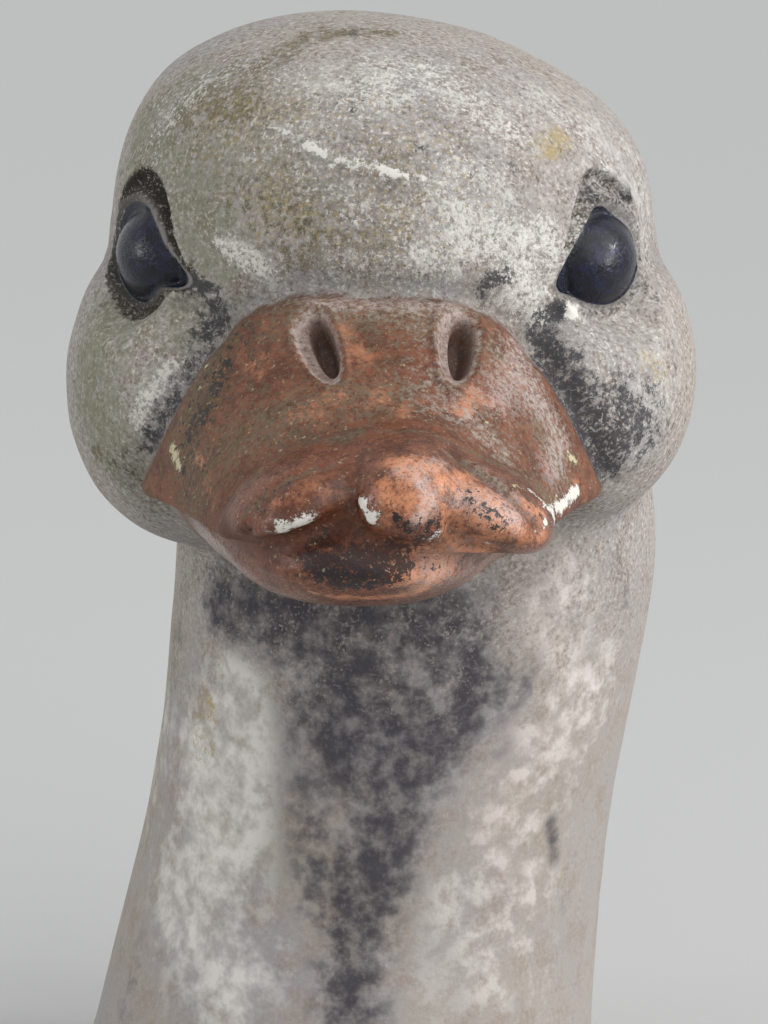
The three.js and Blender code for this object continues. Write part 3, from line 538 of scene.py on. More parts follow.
        (0.8, 2, (5.6, -70.8, 136.6), (12.4, -71.9, 137.6), (18, -72.5, 136.7)),
        (0.9, 1.9, (21.1, -71.9, 135.1), (26.4, -70.9, 132.2), (31.6, -59.9, 126.5)),
        (0.95, 3.7, (33.6, -52.1, 128), (32, -51.4, 131.7)),
        (0.8, 4.5, (29.7, -48, 137.6), (31.7, -50, 133.3)),
        (0.8, 3.8, (22.7, -62, 135.5), (25.2, -63.7, 132.6)),
        (1, 2.7, (-7.6, -37.5, 146.6), (2, -45.8, 148.7), (9.9, -45.4, 148.6), (17.8, -45.7, 148.3),
         (26, -38.7, 145.5)),
        (0.7, 3.9, (4.7, -48.2, 147.1), (15.2, -47.9, 147)),
        (0.6, 5.1, (6.1, -60.6, 139.1), (15.1, -58.6, 140)),
        (0.75, 1.7, (15.2, -49.3, 145.9), (14.5, -43.7, 148.9)),
        (1.4, 0.86, (-9.7, -65, 121.8), (-7.6, -78.6, 127.4), (-5, -80.4, 130.6), (-1.4, -79.6, 133.1),
         (2, -78.3, 134.4), (4.3, -78.3, 134.7)),
        (1.4, 0.98, (18.3, -77.4, 136.1), (20.4, -75.7, 134.3), (23.4, -77, 132.9), (26.5, -78.4, 130.1),
         (28.8, -78.4, 126.9)),
        (0.9, 0.73, (6.1, -81.2, 132.6), (6.8, -82, 129.3), (7.4, -82.4, 127.6)),
        (0.6, 3.2, (-0.6, -46.5, 146.7), (-4.6, -46.1, 145.3)),
        (0.7, 3.2, (21.8, -47.5, 142.9), (25.7, -48.2, 141.7)),
        (0.6, 1.5, (-7.6, -71.3, 121.6), (-1.1, -80.6, 120.4)),
    ),
    "black": (
        (0.42, 6.1, (-9.4, -44, 142.8), (-14.6, -47.8, 133.5), (-15, -52.7, 127.9)),
        (0.62, 2, (-15.2, -48.3, 132), (-13, -49, 134.9)),
        (0.5, 1.6, (-11.7, -48, 137.3), (-10.5, -46.2, 140.2)),
        (0.22, 6.2, (-0.2, -64.3, 136.1), (12.4, -76.5, 137.7)),
        (0.25, 5.2, (28.2, -51.4, 137), (30.7, -56.7, 130.2)),
        (1.2, 2.7, (2.2, -83.9, 124.3), (5.7, -84.5, 124.5), (10.6, -84.2, 124.4)),
        (1.1, 2.1, (3.3, -82.6, 126.1), (4.5, -84.5, 122.5), (8.1, -84.5, 122.2), (11.8, -84, 123.9)),
        (0.85, 1.6, (12.4, -83.9, 126.4), (15.4, -84.7, 127.3)),
        (0.6, 2.2, (20.8, -82.2, 131.6), (24.5, -82.6, 129)),
        (0.6, 1.9, (12.4, -83.9, 123.9), (17.3, -81, 124)),
        (0.7, 0.85, (6.8, -81.8, 131.5), (7.3, -82.4, 127.9)),
        (0.6, 1.2, (-2.9, -79.8, 125.3), (0.2, -81.8, 125.4)),
        (0.5, 1.5, (29.7, -76.5, 128.6)),
        (0.7, 1.4, (11.8, -86.2, 130.8), (13.8, -86.2, 128.9), (17.2, -85.1, 129.9)),
        (0.9, 0.93, (20.2, -45, 145.7), (21.3, -45.6, 143.8)),
        (0.4, 1.3, (16.4, -52.2, 143.9)),
        (0.45, 1.7, (-4.6, -80.6, 130.6), (-1, -79.9, 133.1)),
        (0.6, 1.2, (0.2, -81.3, 127), (5.1, -81.2, 127.6)),
    ),
}

# Flakes with crisp edges, by kind: strength, half width and the places they run through
CRISP_STAINS = {
    "flake": (
        (1.1, 0.67, (-4.8, -33, 170.9), (-2.8, -34.6, 169.9)),
        (1.1, 0.73, (-0.1, -36.7, 168.5), (2.9, -38.3, 167.3)),
        (1.1, 0.73, (4, -38.9, 166.8), (8.2, -39.9, 166), (10.8, -40.2, 165.6), (13.2, -40.4, 164.7)),
        (1, 0.53, (15.2, -40.2, 164.3), (18.9, -39.6, 163.8)),
        (0.8, 0.16, (15.2, -40.5, 163.4), (20.1, -40.4, 159.9)),
        (0.6, 0.11, (2.9, -41, 160.4), (6.9, -42, 159)),
        (1.5, 1, (35.6, -34.9, 145.7), (36.7, -34.2, 144.8)),
        (1.1, 0.9, (40.1, -29.3, 143.6), (41.9, -29.3, 142.5), (43.2, -30.9, 141.4)),
        (1.1, 0.73, (-3.6, -82.7, 127.7), (-1.9, -82.8, 127.8)),
        (1.1, 1.1, (-2.1, -83.2, 128), (-0.4, -83.9, 129.1), (1.3, -83.8, 129.6)),
        (1, 0.27, (0, -81.2, 126.6)),
        (1.3, 0.84, (9, -85.1, 130.4)),
        (1.1, 0.6, (7.7, -83.3, 131.9), (8.3, -84.5, 131)),
        (1, 0.31, (16.2, -84.4, 127.2), (17.3, -84.8, 128.2)),
        (0.9, 0.37, (23.2, -81.1, 125.8)),
        (1.1, 0.62, (28.5, -74.1, 130.5), (29.8, -73.6, 129.3), (30.9, -72.7, 128.1)),
        (1.1, 0.91, (31.1, -72.5, 127.5), (33.3, -57.4, 124.1), (34.6, -53.9, 124.3), (36.1, -49.2, 124.3)),
        (1, 0.54, (29.2, -78.1, 126.7), (30.4, -76.7, 127.5)),
        (1, 0.3, (32.1, -35.4, 155.8), (31.9, -35.7, 154.7)),
        (1, 0.24, (30.9, -36.2, 154.5)),
        (0.8, 0.32, (33.8, -34.7, 154), (34.6, -34.1, 155.3)),
        (1, 0.33, (31.3, -74.1, 126.9), (33.3, -58.4, 123.6)),
        (0.9, 0.29, (34.4, -54.7, 123.7)),
    ),
    "putty": (
        (1.3, 0.8, (-17.7, -46, 128.8), (-16.8, -48.4, 128.3), (-16.3, -50, 127.6)),
        (1.2, 0.53, (35.2, -47.5, 128.5), (36.2, -46.5, 127.2)),
        (1, 0.39, (26.5, -56.7, 135.6)),
        (1, 0.33, (23.6, -59.9, 135.9)),
        (1, 0.28, (26, -50.4, 140)),
        (1, 0.34, (25.4, -56.6, 136.5)),
        (1.1, 0.54, (26.3, -76.1, 131.9), (27.5, -75.1, 131.1)),
        (1, 0.39, (31.6, -60.5, 126.3), (32.8, -57.3, 125.7)),
        (1, 0.25, (24.2, -62.3, 134.3)),
        (1, 0.26, (27.9, -59.8, 132.1)),
        (1, 0.25, (25.6, -68.9, 132.6)),
        (1, 0.28, (29.9, -59.5, 129.6)),
        (1.1, 0.61, (-3, -79.9, 124.4), (-2.4, -80.7, 124)),
        (1, 0.31, (8.9, -83.1, 127.6), (9.4, -83.5, 127.2)),
        (1, 0.41, (5.7, -83.4, 125.9)),
        (1, 0.29, (9.6, -84.1, 124.7)),
        (1, 0.31, (12.1, -84, 126.6)),
        (1.2, 0.62, (35.6, -39.3, 132.1)),
        (1, 0.4, (-13.3, -41.9, 139.5)),
        (1, 0.4, (-14.1, -44.3, 137)),
        (0.9, 0.35, (-15.7, -44.5, 134.4)),
        (0.9, 0.32, (-11.3, -42.1, 141.6)),
        (1, 0.24, (27.4, -80.4, 125.2)),
        (0.9, 0.32, (22.9, -80, 125.2)),
        (0.8, 0.21, (4.6, -42.2, 153.7)),
        (0.8, 0.21, (8.9, -42.6, 152.9)),
        (0.8, 0.21, (6.2, -42.3, 156.6)),
        (0.8, 0.23, (16.6, -41.6, 150.9)),
        (0.9, 0.2, (-1.2, -40.2, 158.7)),
        (0.9, 0.2, (13.6, -42.3, 155.8)),
        (0.9, 0.19, (2.2, -41.7, 155.2)),
        (0.9, 0.2, (19.5, -41.3, 155.1)),
        (0.8, 0.19, (-7.5, -37.5, 156.9)),
        (0.8, 0.19, (-10, -35.1, 160.8)),
        (0.8, 0.19, (-5.8, -37.1, 162.5)),
    ),
}

# How strong each stain is on the sides and back, and how far it spreads there
BEHIND = {
    "wash": (0.8, 0.35),
    "film": (0.75, 0.3),
    "blush": (0.5, 0.2),
    "chalk": (0.65, 0.1),
    "moss": (0.55, 0.0),
    "ochre": (0.4, -0.1),
    "drip": (0.6, -0.1),
    "soot": (0.35, -0.15),
}
BEHIND_FROM = -8
BEHIND_RUN = 22
STAIN_SEED = 20
STAIN_LUMP = 14
STAIN_STRETCH = (1, 1, 0.5)
STAIN_CONTRAST = 1.2

# Shares of dust on the bill's top and in the nostrils' dishes, of black specks at its tip, and of the chalk
# that the slots lack
TOP_DUST = 0.5
DISH_DUST = 0.9
TIP_SPECKS = 0.16
SLOT_BARE = 0.3

# Depth of a groove at which its painted shade is full, and distances past which marks stay level
FULL_GROOVE = 1.4
FAR = 9


# Helpers on arrays of places

def unit(v):
    """The same ways, each of length 1."""
    v = np.asarray(v, float)
    return v / np.linalg.norm(v, axis=-1, keepdims=True)


def smooth(v):
    """Goes from 0 to 1 as v does, softly at both ends."""
    t = np.clip(v, 0, 1)
    return t * t * (3 - 2 * t)


def bell(v):
    """1 where v is 0, and falling softly to 0 on both sides."""
    return np.exp(-v * v)


def above(v):
    """v where it is over 0, and 0 elsewhere."""
    return np.maximum(v, 0)


def ease(v, r):
    """Rises from 0 as v does, bending softly over r on both sides of it."""
    return np.where(v > r, v, above(v + r) ** 2 / (4 * r))


def mix(a, b, t):
    """From a to b as t goes from 0 to 1."""
    return a + (b - a) * t


def track(at, places, values):
    """Smooth curve through values at rising places, level beyond both ends."""
    places = np.array(places, float)
    values = np.array(values, float)
    slopes = np.gradient(values, places)
    i = np.clip(np.searchsorted(places, at) - 1, 0, len(places) - 2)
    step = places[i + 1] - places[i]
    t = np.clip((at - places[i]) / step, 0, 1)
    t2 = t * t
    t3 = t2 * t
    return ((2 * t3 - 3 * t2 + 1) * values[i] + (t3 - 2 * t2 + t) * step * slopes[i]
            + (3 * t2 - 2 * t3) * values[i + 1] + (t3 - t2) * step * slopes[i + 1])


def line_distance(p, places):
    """Distance from each of p to a line through places, or to a single place."""
    places = [np.array(place, float) for place in places]
    best = np.linalg.norm(p - places[0], axis=1)
    for start, end in zip(places, places[1:]):
        way = end - start
        t = np.clip((p - start) @ way / (way @ way), 0, 1)
        best = np.minimum(best, np.linalg.norm(p - start - t[:, None] * way, axis=1))
    return best


def from_head(q):
    """Places measured from the middle of the head, as the head's sizes are."""
    return q - (HEAD_X, 0, 0)


# Masses: each is a field that is about the distance outside it, and negative inside

def blend(a, b, width):
    """Soft union of two fields."""
    h = above(width - np.abs(a - b)) / width
    return np.minimum(a, b) - h * h * width / 4


def egg(p, centre, radii, powers=(2, 2, 2), roll=0):
    """Superellipsoid, rolled about Y by degrees."""
    dx, y, dz = (p - np.array(centre)).T
    a = math.radians(roll)
    x = dx * math.cos(a) - dz * math.sin(a)
    z = dx * math.sin(a) + dz * math.cos(a)
    q = [np.abs(v) / r for v, r in zip((x, y, z), radii)]
    total = np.maximum(sum(v ** n for v, n in zip(q, powers)), 1e-9)
    mean = sum(powers) / 3
    steep = np.sqrt(sum((v ** (n - 1) / r) ** 2 for v, n, r in zip(q, powers, radii)))
    steep = steep / total ** ((mean - 1) / mean)
    return (total ** (1 / mean) - 1) / np.maximum(steep, 0.5 / max(radii))


def skull(p):
    """Skull, with its crown leaning over to the goose's right."""
    lean = CROWN_LEAN * ease(p[:, 2] - CROWN_LEAN_FROM, CROWN_LEAN_BEND)
    return egg(p + np.stack([lean, 0 * lean, 0 * lean], 1), **SKULL)


def neck(p):
    """Neck: ovals along a leaning middle line, ended softly inside the head."""
    z = p[:, 2]
    across = track(z, NECK_Z, NECK_ACROSS)
    lengthwise = track(z, NECK_Z, NECK_ALONG)
    x = (p[:, 0] + HEAD_X - track(z, NECK_Z, NECK_X)) / across
    y = (p[:, 1] - track(z, NECK_Z, NECK_Y)) / lengthwise
    return -blend(-(np.hypot(x, y) - 1) * np.minimum(across, lengthwise), NECK_TOP - z, SOFT["neck_top"])


def bill_mass(s, across, up, down, half, powers, tip):
    """Half of the bill: its cross-section, closed at its tip and at its root inside the face."""
    end = (above(s - tip["from"]) / tip["length"]) ** tip["power"]
    root = (above(BILL_ROOT["from"] - s) / BILL_ROOT["length"]) ** 2
    g = across ** powers["across"] + up ** powers["up"] + down ** powers["down"] + end + root
    return (g ** (1 / powers["all"]) - 1) * half * BILL_STEEPNESS


def upper_bill(p):
    """Upper bill: wide at its edge and narrower towards its top."""
    s = -p[:, 1]
    z = p[:, 2]
    edge = track(s, EDGE_AT, EDGE_Z)
    height = track(s, TOP_AT, TOP_Z) - edge
    half = track(s, UPPER_AT, UPPER_HALF)
    up = above(z - edge) / height
    down = above(edge - z) / EDGE_ROUNDING
    narrow = 1 - track(s, NARROW_AT, NARROW_BY) * np.minimum(up, NARROW_TO) ** NARROW_BEND
    across = np.abs(p[:, 0] - track(s, MIDDLE_AT, MIDDLE_X)) / (half * narrow)
    return bill_mass(s, across, up, down, np.minimum(half, height), UPPER_POWERS, UPPER_TIP)


def lower_bill(p):
    """Lower bill: a shallow boat under the mouth line."""
    s = -p[:, 1]
    z = p[:, 2]
    half = track(s, LOWER_WIDE_AT, LOWER_HALF)
    down = above(MOUTH_Z - z) / (MOUTH_Z - track(s, LOWER_AT, LOWER_Z))
    up = above(z - MOUTH_Z) / LOWER_LIP
    across = np.abs(p[:, 0] - LOWER_MIDDLE_X) / half
    return bill_mass(s, across, up, down, np.minimum(half, LOWER_DEEP), LOWER_POWERS, LOWER_TIP)


def masses(q):
    """All masses at some places."""
    p = from_head(q)
    m = {"skull": skull(p), "cheeks": np.minimum(egg(p, **RIGHT_CHEEK), egg(p, **LEFT_CHEEK))}
    m["face"] = blend(blend(m["skull"], m["cheeks"], SOFT["cheeks"]), neck(p), SOFT["throat"])
    m["band"] = egg(p, **RIM_BAND)
    m["plain"] = upper_bill(p)
    m["upper"] = blend(m["plain"], m["band"], SOFT["rim_band"])
    m["nail"] = egg(p, **NAIL)
    m["lobes"] = np.minimum(egg(p, **RIGHT_LOBE), egg(p, **LEFT_LOBE))
    m["lower"] = lower_bill(p)
    m["top"] = blend(blend(m["upper"], m["nail"], SOFT["nail"]), m["lobes"], SOFT["lobes"])
    m["bill"] = blend(m["top"], m["lower"], SOFT["mouth"])
    m["form"] = blend(m["face"], m["bill"], SOFT["bill_root"])
    return m


def form(q):
    """The whole form's field at some places."""
    return masses(q)["form"]


def slope(q, step=0.15):
    """The field's slope at some places."""
    return np.stack([form(q + axis * step) - form(q - axis * step) for axis in np.eye(3)], 1) / (2 * step)


def settle(q, rounds=3):
    """Brings places that are near the form onto it."""
    for _ in range(rounds):
        g = slope(q)
        q = q - g * (form(q) / np.maximum((g * g).sum(1), 0.05))[:, None]
    return q


# Eyes

def eye_axes(eye):
    """The way that an eye looks, and the way to its front corner."""
    a = math.radians(eye["turn"])
    sight = np.array([math.sin(a), -math.cos(a), 0])
    front = np.array([eye["forward"] * math.cos(a), -abs(math.sin(a)), 0])
    return sight, front


def eye_places(p, eye):
    """Places seen along an eye's sight: forward, up, out, angle, and how far past the opening's rim."""
    sight, front_way = eye_axes(eye)
    d = p - np.array(eye["centre"])
    front = d @ front_way
    up = d[:, 2]
    angle = np.degrees(np.arctan2(up, front))
    return front, up, d @ sight, angle, np.hypot(front, up) - track(angle, ROUND, eye["opening"])


def eye_side(out):
    """Share of a place that lies on an eye's side of the head."""
    return smooth((EYE_DEPTH + out) / EYE_SIDE_FADE)


def eye_shift(p, eye):
    """How far the surface moves along an eye's sight: bulging ball, lid round it, hollow round the lid."""
    front, up, out, angle, past = eye_places(p, eye)
    lid = track(angle, ROUND, LID)
    wide = track(angle, ROUND, HOLLOW)
    level = np.minimum(out, track(angle, ROUND, LID_CAP)) + track(angle, ROUND, LID_RISE)
    dome = np.sqrt(above(1 - (front / BALL["half"][0]) ** 2 - (up / BALL["half"][1]) ** 2))
    ball = np.maximum(BALL["half"][2] * dome - BALL["sunk"], BALL["floor"])
    lip = mix(np.minimum(ball + LIP["step"], level), level, smooth(past / lid))
    trough = np.sin(np.pi * np.clip((past - lid) / wide, 0, 1)) ** LIP["trough_power"]
    back = smooth((past - lid) / (wide + LIP["back"]))
    outer = mix(level, out, back) - track(angle, ROUND, HOLLOW_DEPTH) * trough
    target = mix(np.where(past < lid, lip, outer), ball, smooth((LIP["edge"] - past) / (2 * LIP["edge"])))
    near = smooth((lid + wide + LIP["fade_from"] - past) / LIP["fade"]) * eye_side(out)
    return near * (target - out)


def eye_cover(p, eye):
    """Share of a place that an eye, its lid and its hollow cover."""
    _, _, out, angle, past = eye_places(p, eye)
    reach = track(angle, ROUND, LID) + track(angle, ROUND, HOLLOW)
    return smooth((reach + EYE_COVER["past"] - past) / EYE_COVER["fade"]) * eye_side(out)


# Carving

def crease(a, b, depth, width):
    """Groove where two masses meet."""
    return -depth * bell((a - b) / width) * bell(np.maximum(np.abs(a), np.abs(b)) / CREASE_REACH)


def hole(a, b, half, taper):
    """Distance from the middle of a long hole, as a share of the way to its edge."""
    return np.sqrt(np.abs(a / half[0]) ** HOLE_POWER + np.abs(b / (half[1] - taper * a)) ** HOLE_POWER)


def nostrils(p):
    """For each nostril, how near places are, and how far out they are in its dish and in its slot."""
    for centre, way in NOSTRILS:
        along = unit(way)
        side = unit(np.cross(along, NOSTRIL_UP))
        side = side * np.sign(side[0])
        d = p - np.array(centre)
        on_top = smooth((p[:, 2] - NOSTRIL_ZONE["lowest"]) / NOSTRIL_ZONE["rise"])
        near = on_top * smooth((NOSTRIL_ZONE["reach"] - np.linalg.norm(d, axis=1)) / NOSTRIL_ZONE["fade"])
        a = d @ along
        b = d @ side
        dish = hole(a, b, DISH["half"], DISH["taper"])
        slot = hole(a - SLOT["shift"][0], b - SLOT["shift"][1], SLOT["half"], SLOT["taper"])
        yield near, dish, slot


def lumps(q, size, seed):
    """Soft unevenness between -1 and 1 with lumps of about a size."""
    grid = np.random.default_rng(seed).uniform(-1, 1, (LUMP_GRID, LUMP_GRID, LUMP_GRID))
    at = q / size
    low = np.floor(at).astype(int)
    t = smooth(at - low)
    total = np.zeros(len(q))
    for corner in np.ndindex(2, 2, 2):
        share = np.prod([t[:, i] if corner[i] else 1 - t[:, i] for i in range(3)], axis=0)
        x, y, z = ((low + corner) % LUMP_GRID).T
        total += share * grid[x, y, z]
    return total


def carving(q, m, sizes):
    """How far the surface moves along its normal for grooves, carved lines and nostrils."""
    p = from_head(q)
    outside_face = smooth((m["face"] - MOUTH_CREASE_START["from"]) / MOUTH_CREASE_START["run"])
    in_front = smooth((BROW_CREASE_END["at"] - p[:, 1]) / BROW_CREASE_END["run"])
    h = crease(m["face"], m["bill"], sizes.bill_crease / MM, CREASE_HALF["bill"])
    h += crease(m["top"], m["lower"], sizes.mouth_crease / MM, CREASE_HALF["mouth"]) * outside_face
    h += crease(m["upper"], m["lobes"], LOBE_CREASE, CREASE_HALF["lobes"])
    h += crease(m["plain"], m["band"], BAND_CREASE, CREASE_HALF["band"])
    h += crease(m["skull"], m["cheeks"], sizes.brow_crease / MM, CREASE_HALF["brow"]) * in_front
    for depth, width, *places in LINES:
        h -= depth * bell(line_distance(p, places) / width)
    for near, dish, slot in nostrils(p):
        rim = DISH["rim"] * bell((dish - DISH["rim_at"]) / DISH["rim_half"])
        sunk = DISH["depth"] * smooth((DISH["edge"] - dish) / DISH["bank"])
        deep = SLOT["depth"] * smooth((SLOT["edge"] - slot) / SLOT["bank"])
        h += near * (rim - sunk - deep)
    for eye in EYES:
        h *= 1 - eye_cover(p, eye)
    return h


# Net

def ray(way, angle):
    """Rays for ways from the bill's tip (0) to the underside (1), at angles round from the top."""
    way, angle = np.broadcast_arrays(np.asarray(way, float), np.asarray(angle, float))
    way = way.ravel()
    angle = angle.ravel()
    s = np.sin(angle)
    c = np.cos(angle)
    opening = np.pi / 2 * np.clip(way / TIP_SHARE, 0, 1)
    fan = np.stack([s * np.sin(opening), -np.cos(opening), c * np.sin(opening)], 1)
    k = above(way - TIP_SHARE) / (1 - TIP_SHARE) * (len(STATIONS) - 1)
    x, y, z, up_y, up_z, low_y, low_z = [track(k, range(len(STATIONS)), column) for column in zip(*STATIONS)]
    up = unit(np.stack([0 * x, up_y - y, up_z - z], 1))
    low = unit(np.stack([0 * x, low_y - y, low_z - z], 1))
    across = np.stack([s, 0 * s, 0 * s], 1)
    bent = across + c[:, None] * (up - low) / 2 + (c * c)[:, None] * (up + low) / 2
    in_fan = (way < TIP_SHARE)[:, None]
    start = np.where(in_fan, np.array(STATIONS[0][:3], float), np.stack([x, y, z], 1))
    return start, unit(np.where(in_fan, fan, bent))


def cast(way, angle, stride=2.0, halvings=12):
    """Where rays leave the form: found by strides, then by halving the last one."""
    start, to = ray(way, angle)
    inside = np.full(len(start), 0.5)
    outside = np.full(len(start), float(RAY_LENGTH))
    live = np.ones(len(start), bool)
    for r in np.arange(stride, RAY_LENGTH, stride):
        left = np.zeros(len(start), bool)
        left[live] = form(start[live] + to[live] * r) > 0
        outside[left] = r
        live &= ~left
        inside[live] = r
    for _ in range(halvings):
        middle = (inside + outside) / 2
        within = form(start + to * middle[:, None]) < 0
        inside = np.where(within, middle, inside)
        outside = np.where(within, outside, middle)
    return start + to * ((inside + outside) / 2)[:, None]


def fineness(q):
    """How close the net's points lie: closer at the eyes, nostrils and front, wide on the nape."""
    p = from_head(q)
    near = sum(bell(line_distance(p, [centre]) / reach) for centre, reach in CLOSER)
    return 1 + CLOSER_BY * near - WIDER["by"] * smooth((q[:, 1] - WIDER["from"]) / WIDER["run"])


def ring_ways(rings, dense=240, probes=10):
    """Ways for the rings, so that they lie evenly on the surface, and closer on the bill and the face."""
    ways = np.linspace(0, 1, dense)
    angles = np.arange(probes) / probes * 2 * np.pi
    hits = cast(ways[:, None], angles[None]).reshape(dense, probes, 3)
    gaps = (np.linalg.norm(np.diff(hits, axis=0), axis=2) ** 2).mean(1) ** 0.5
    run = np.concatenate([[0], np.cumsum(gaps * track((ways[1:] + ways[:-1]) / 2, CLOSENESS_AT, CLOSENESS))])
    return np.interp(np.arange(1, rings + 1) / rings * run[-1], run, ways)


def step_angles(ways, steps, dense=240, guides=50):
    """Angles of each ring's steps, evenly spaced round the form but closer where the net is fine."""
    some = np.unique(np.linspace(0, len(ways) - 1, guides).round().astype(int))
    angles = np.linspace(0, 2 * np.pi, dense + 1)
    hits = cast(ways[some][:, None], angles[None])
    gaps = np.linalg.norm(np.diff(hits.reshape(len(some), dense + 1, 3), axis=1), axis=2)
    gaps *= fineness(hits).reshape(len(some), dense + 1)[:, 1:]
    table = []
    for row in gaps:
        run = np.concatenate([[0], np.cumsum(row)])
        table.append(np.interp(np.arange(steps) / steps * run[-1], run, angles))
    table = np.array(table)
    return np.stack([np.interp(np.arange(len(ways)), some, column) for column in table.T], 1)


def net_places(sizes):
    """Rows of places on the form, with the rings of the flat underside last, and both end points."""
    ways = ring_ways(sizes.rings)
    angles = step_angles(ways, sizes.steps_round)
    rows = cast(ways[:, None], angles).reshape(sizes.rings, sizes.steps_round, 3)
    foot = rows[-1].copy()
    foot[:, 2] = 0
    middle = foot.mean(0)
    bevel = sizes.foot_bevel / MM
    rows[-1] = foot + (0, 0, bevel)
    flat_edge = 1 - bevel / np.linalg.norm(foot - middle, axis=1).mean()
    shares = [flat_edge, *np.linspace(*FOOT_SHARES, FOOT_RINGS - 1)]
    under = np.array([middle + (foot - middle) * share for share in shares])
    return np.concatenate([rows, under]), cast(0, 0)[0], middle


def vertex_places(mesh):
    """Places of a mesh's points, in metres."""
    flat = np.empty(len(mesh.vertices) * 3)
    mesh.vertices.foreach_get("co", flat)
    return flat.reshape(-1, 3)


def set_vertex_places(mesh, places):
    """Moves a mesh's points to places in metres."""
    mesh.vertices.foreach_set("co", places.astype(np.float32).ravel())
    mesh.update()


def wrap_sphere(context, sizes):
    """Adds a sphere and moves its net onto the form, from the bill's tip to the middle of the underside."""
    rows, tip, middle = net_places(sizes)
    bpy.ops.object.select_all(action="DESELECT")
    bpy.ops.mesh.primitive_uv_sphere_add(segments=sizes.steps_round, ring_count=len(rows) + 1, radius=1)
    mesh = context.object.data
    ball = vertex_places(mesh)
    ring = np.rint(np.arccos(np.clip(ball[:, 2], -1, 1)) / np.pi * (len(rows) + 1)).astype(int)
    step = np.rint(np.arctan2(ball[:, 0], ball[:, 1]) / (2 * np.pi) * sizes.steps_round).astype(int)
    q = rows[np.clip(ring - 1, 0, len(rows) - 1), step % sizes.steps_round]
    q[ring == 0] = tip
    q[ring == len(rows) + 1] = middle
    set_vertex_places(mesh, q * MM)
    return context.object


def in_detail(q, m):
    """Whether places lie where the net is made finer: eyes, nostrils, mouth, carved lines and flakes."""
    p = from_head(q)
    zone = np.zeros(len(q), bool)
    for eye in EYES:
        _, _, out, _, past = eye_places(p, eye)
        zone |= (past < DETAIL["eye"]) & (out > -DETAIL["eye_depth"])
    for centre, _ in NOSTRILS:
        zone |= line_distance(p, [centre]) < DETAIL["nostril"]
    for _, _, *places in LINES:
        zone |= line_distance(p, places) < DETAIL["line"]
    in_mouth = np.maximum(np.abs(m["top"]), np.abs(m["lower"])) < DETAIL["mouth"]
    zone |= in_mouth & (m["face"] > MOUTH_CREASE_START["from"])
    for rows in CRISP_STAINS.values():
        zone |= patch(q, rows) > -DETAIL["flake"]
    return zone & (q[:, 2] > RIM_FADE)


def refine(piece):
    """Subdivides the faces in the detailed places once, in edit mode."""
    centres = np.empty(len(piece.data.polygons) * 3)
    piece.data.polygons.foreach_get("center", centres)
    centres = centres.reshape(-1, 3) / MM
    bpy.ops.object.mode_set(mode="EDIT")
    bpy.ops.mesh.select_mode(type="FACE")
    bpy.ops.mesh.select_all(action="DESELECT")
    bpy.ops.object.mode_set(mode="OBJECT")
    piece.data.polygons.foreach_set("select", in_detail(centres, masses(centres)))
    bpy.ops.object.mode_set(mode="EDIT")
    bpy.ops.mesh.subdivide(number_cuts=1)
    bpy.ops.mesh.select_all(action="SELECT")
    bpy.ops.mesh.quads_convert_to_tris()
    bpy.ops.object.mode_set(mode="OBJECT")


def carve(mesh, sizes):
    """Settles the net on the form, carves and roughens it, raises the flakes and shapes the eyes."""
    q = vertex_places(mesh) / MM
    on_form = q[:, 2] > FOOT_BEVELS * sizes.foot_bevel / MM
    q[on_form] = settle(q[on_form])
    p = from_head(q)
    m = masses(q)
    carved = carving(q, m, sizes)
    uneven = sum(share * lumps(q, size, seed) for share, size, seed in UNEVENNESS)
    quiet = np.prod([1 - eye_cover(p, eye) for eye in EYES], axis=0)
    flakes = np.maximum(patch(q, CRISP_STAINS["flake"]), patch(q, CRISP_STAINS["putty"]))
    raised = smooth(0.5 + flakes / FLAKE_EDGE)
    height = carved + sizes.lump_rise / MM * uneven * quiet + sizes.flake_rise / MM * raised
    height = height * smooth(q[:, 2] / RIM_FADE)
    place = q + unit(slope(q)) * height[:, None]
    for eye in EYES:
        place += eye_axes(eye)[0] * eye_shift(p, eye)[:, None]
    place[~on_form] = q[~on_form]
    set_vertex_places(mesh, place * MM)
    write_marks(mesh, q, m, carved)


# Marks for the material: the stains, and where bill, eyes, grooves and hollows lie

def cover(q, rows):
    """Soft share of some places that stains cover. Each row has a strength, a reach and places."""
    clean = np.ones(len(q))
    for strength, reach, *places in rows:
        clean *= 1 - np.clip(strength * bell(line_distance(q, places) / reach), 0, 1)
    return 1 - clean


def patch(q, rows):
    """Distance inside crisp patches, in millimetres, and negative outside them."""
    return np.max([strength * reach - line_distance(q, places) for strength, reach, *places in rows], axis=0)


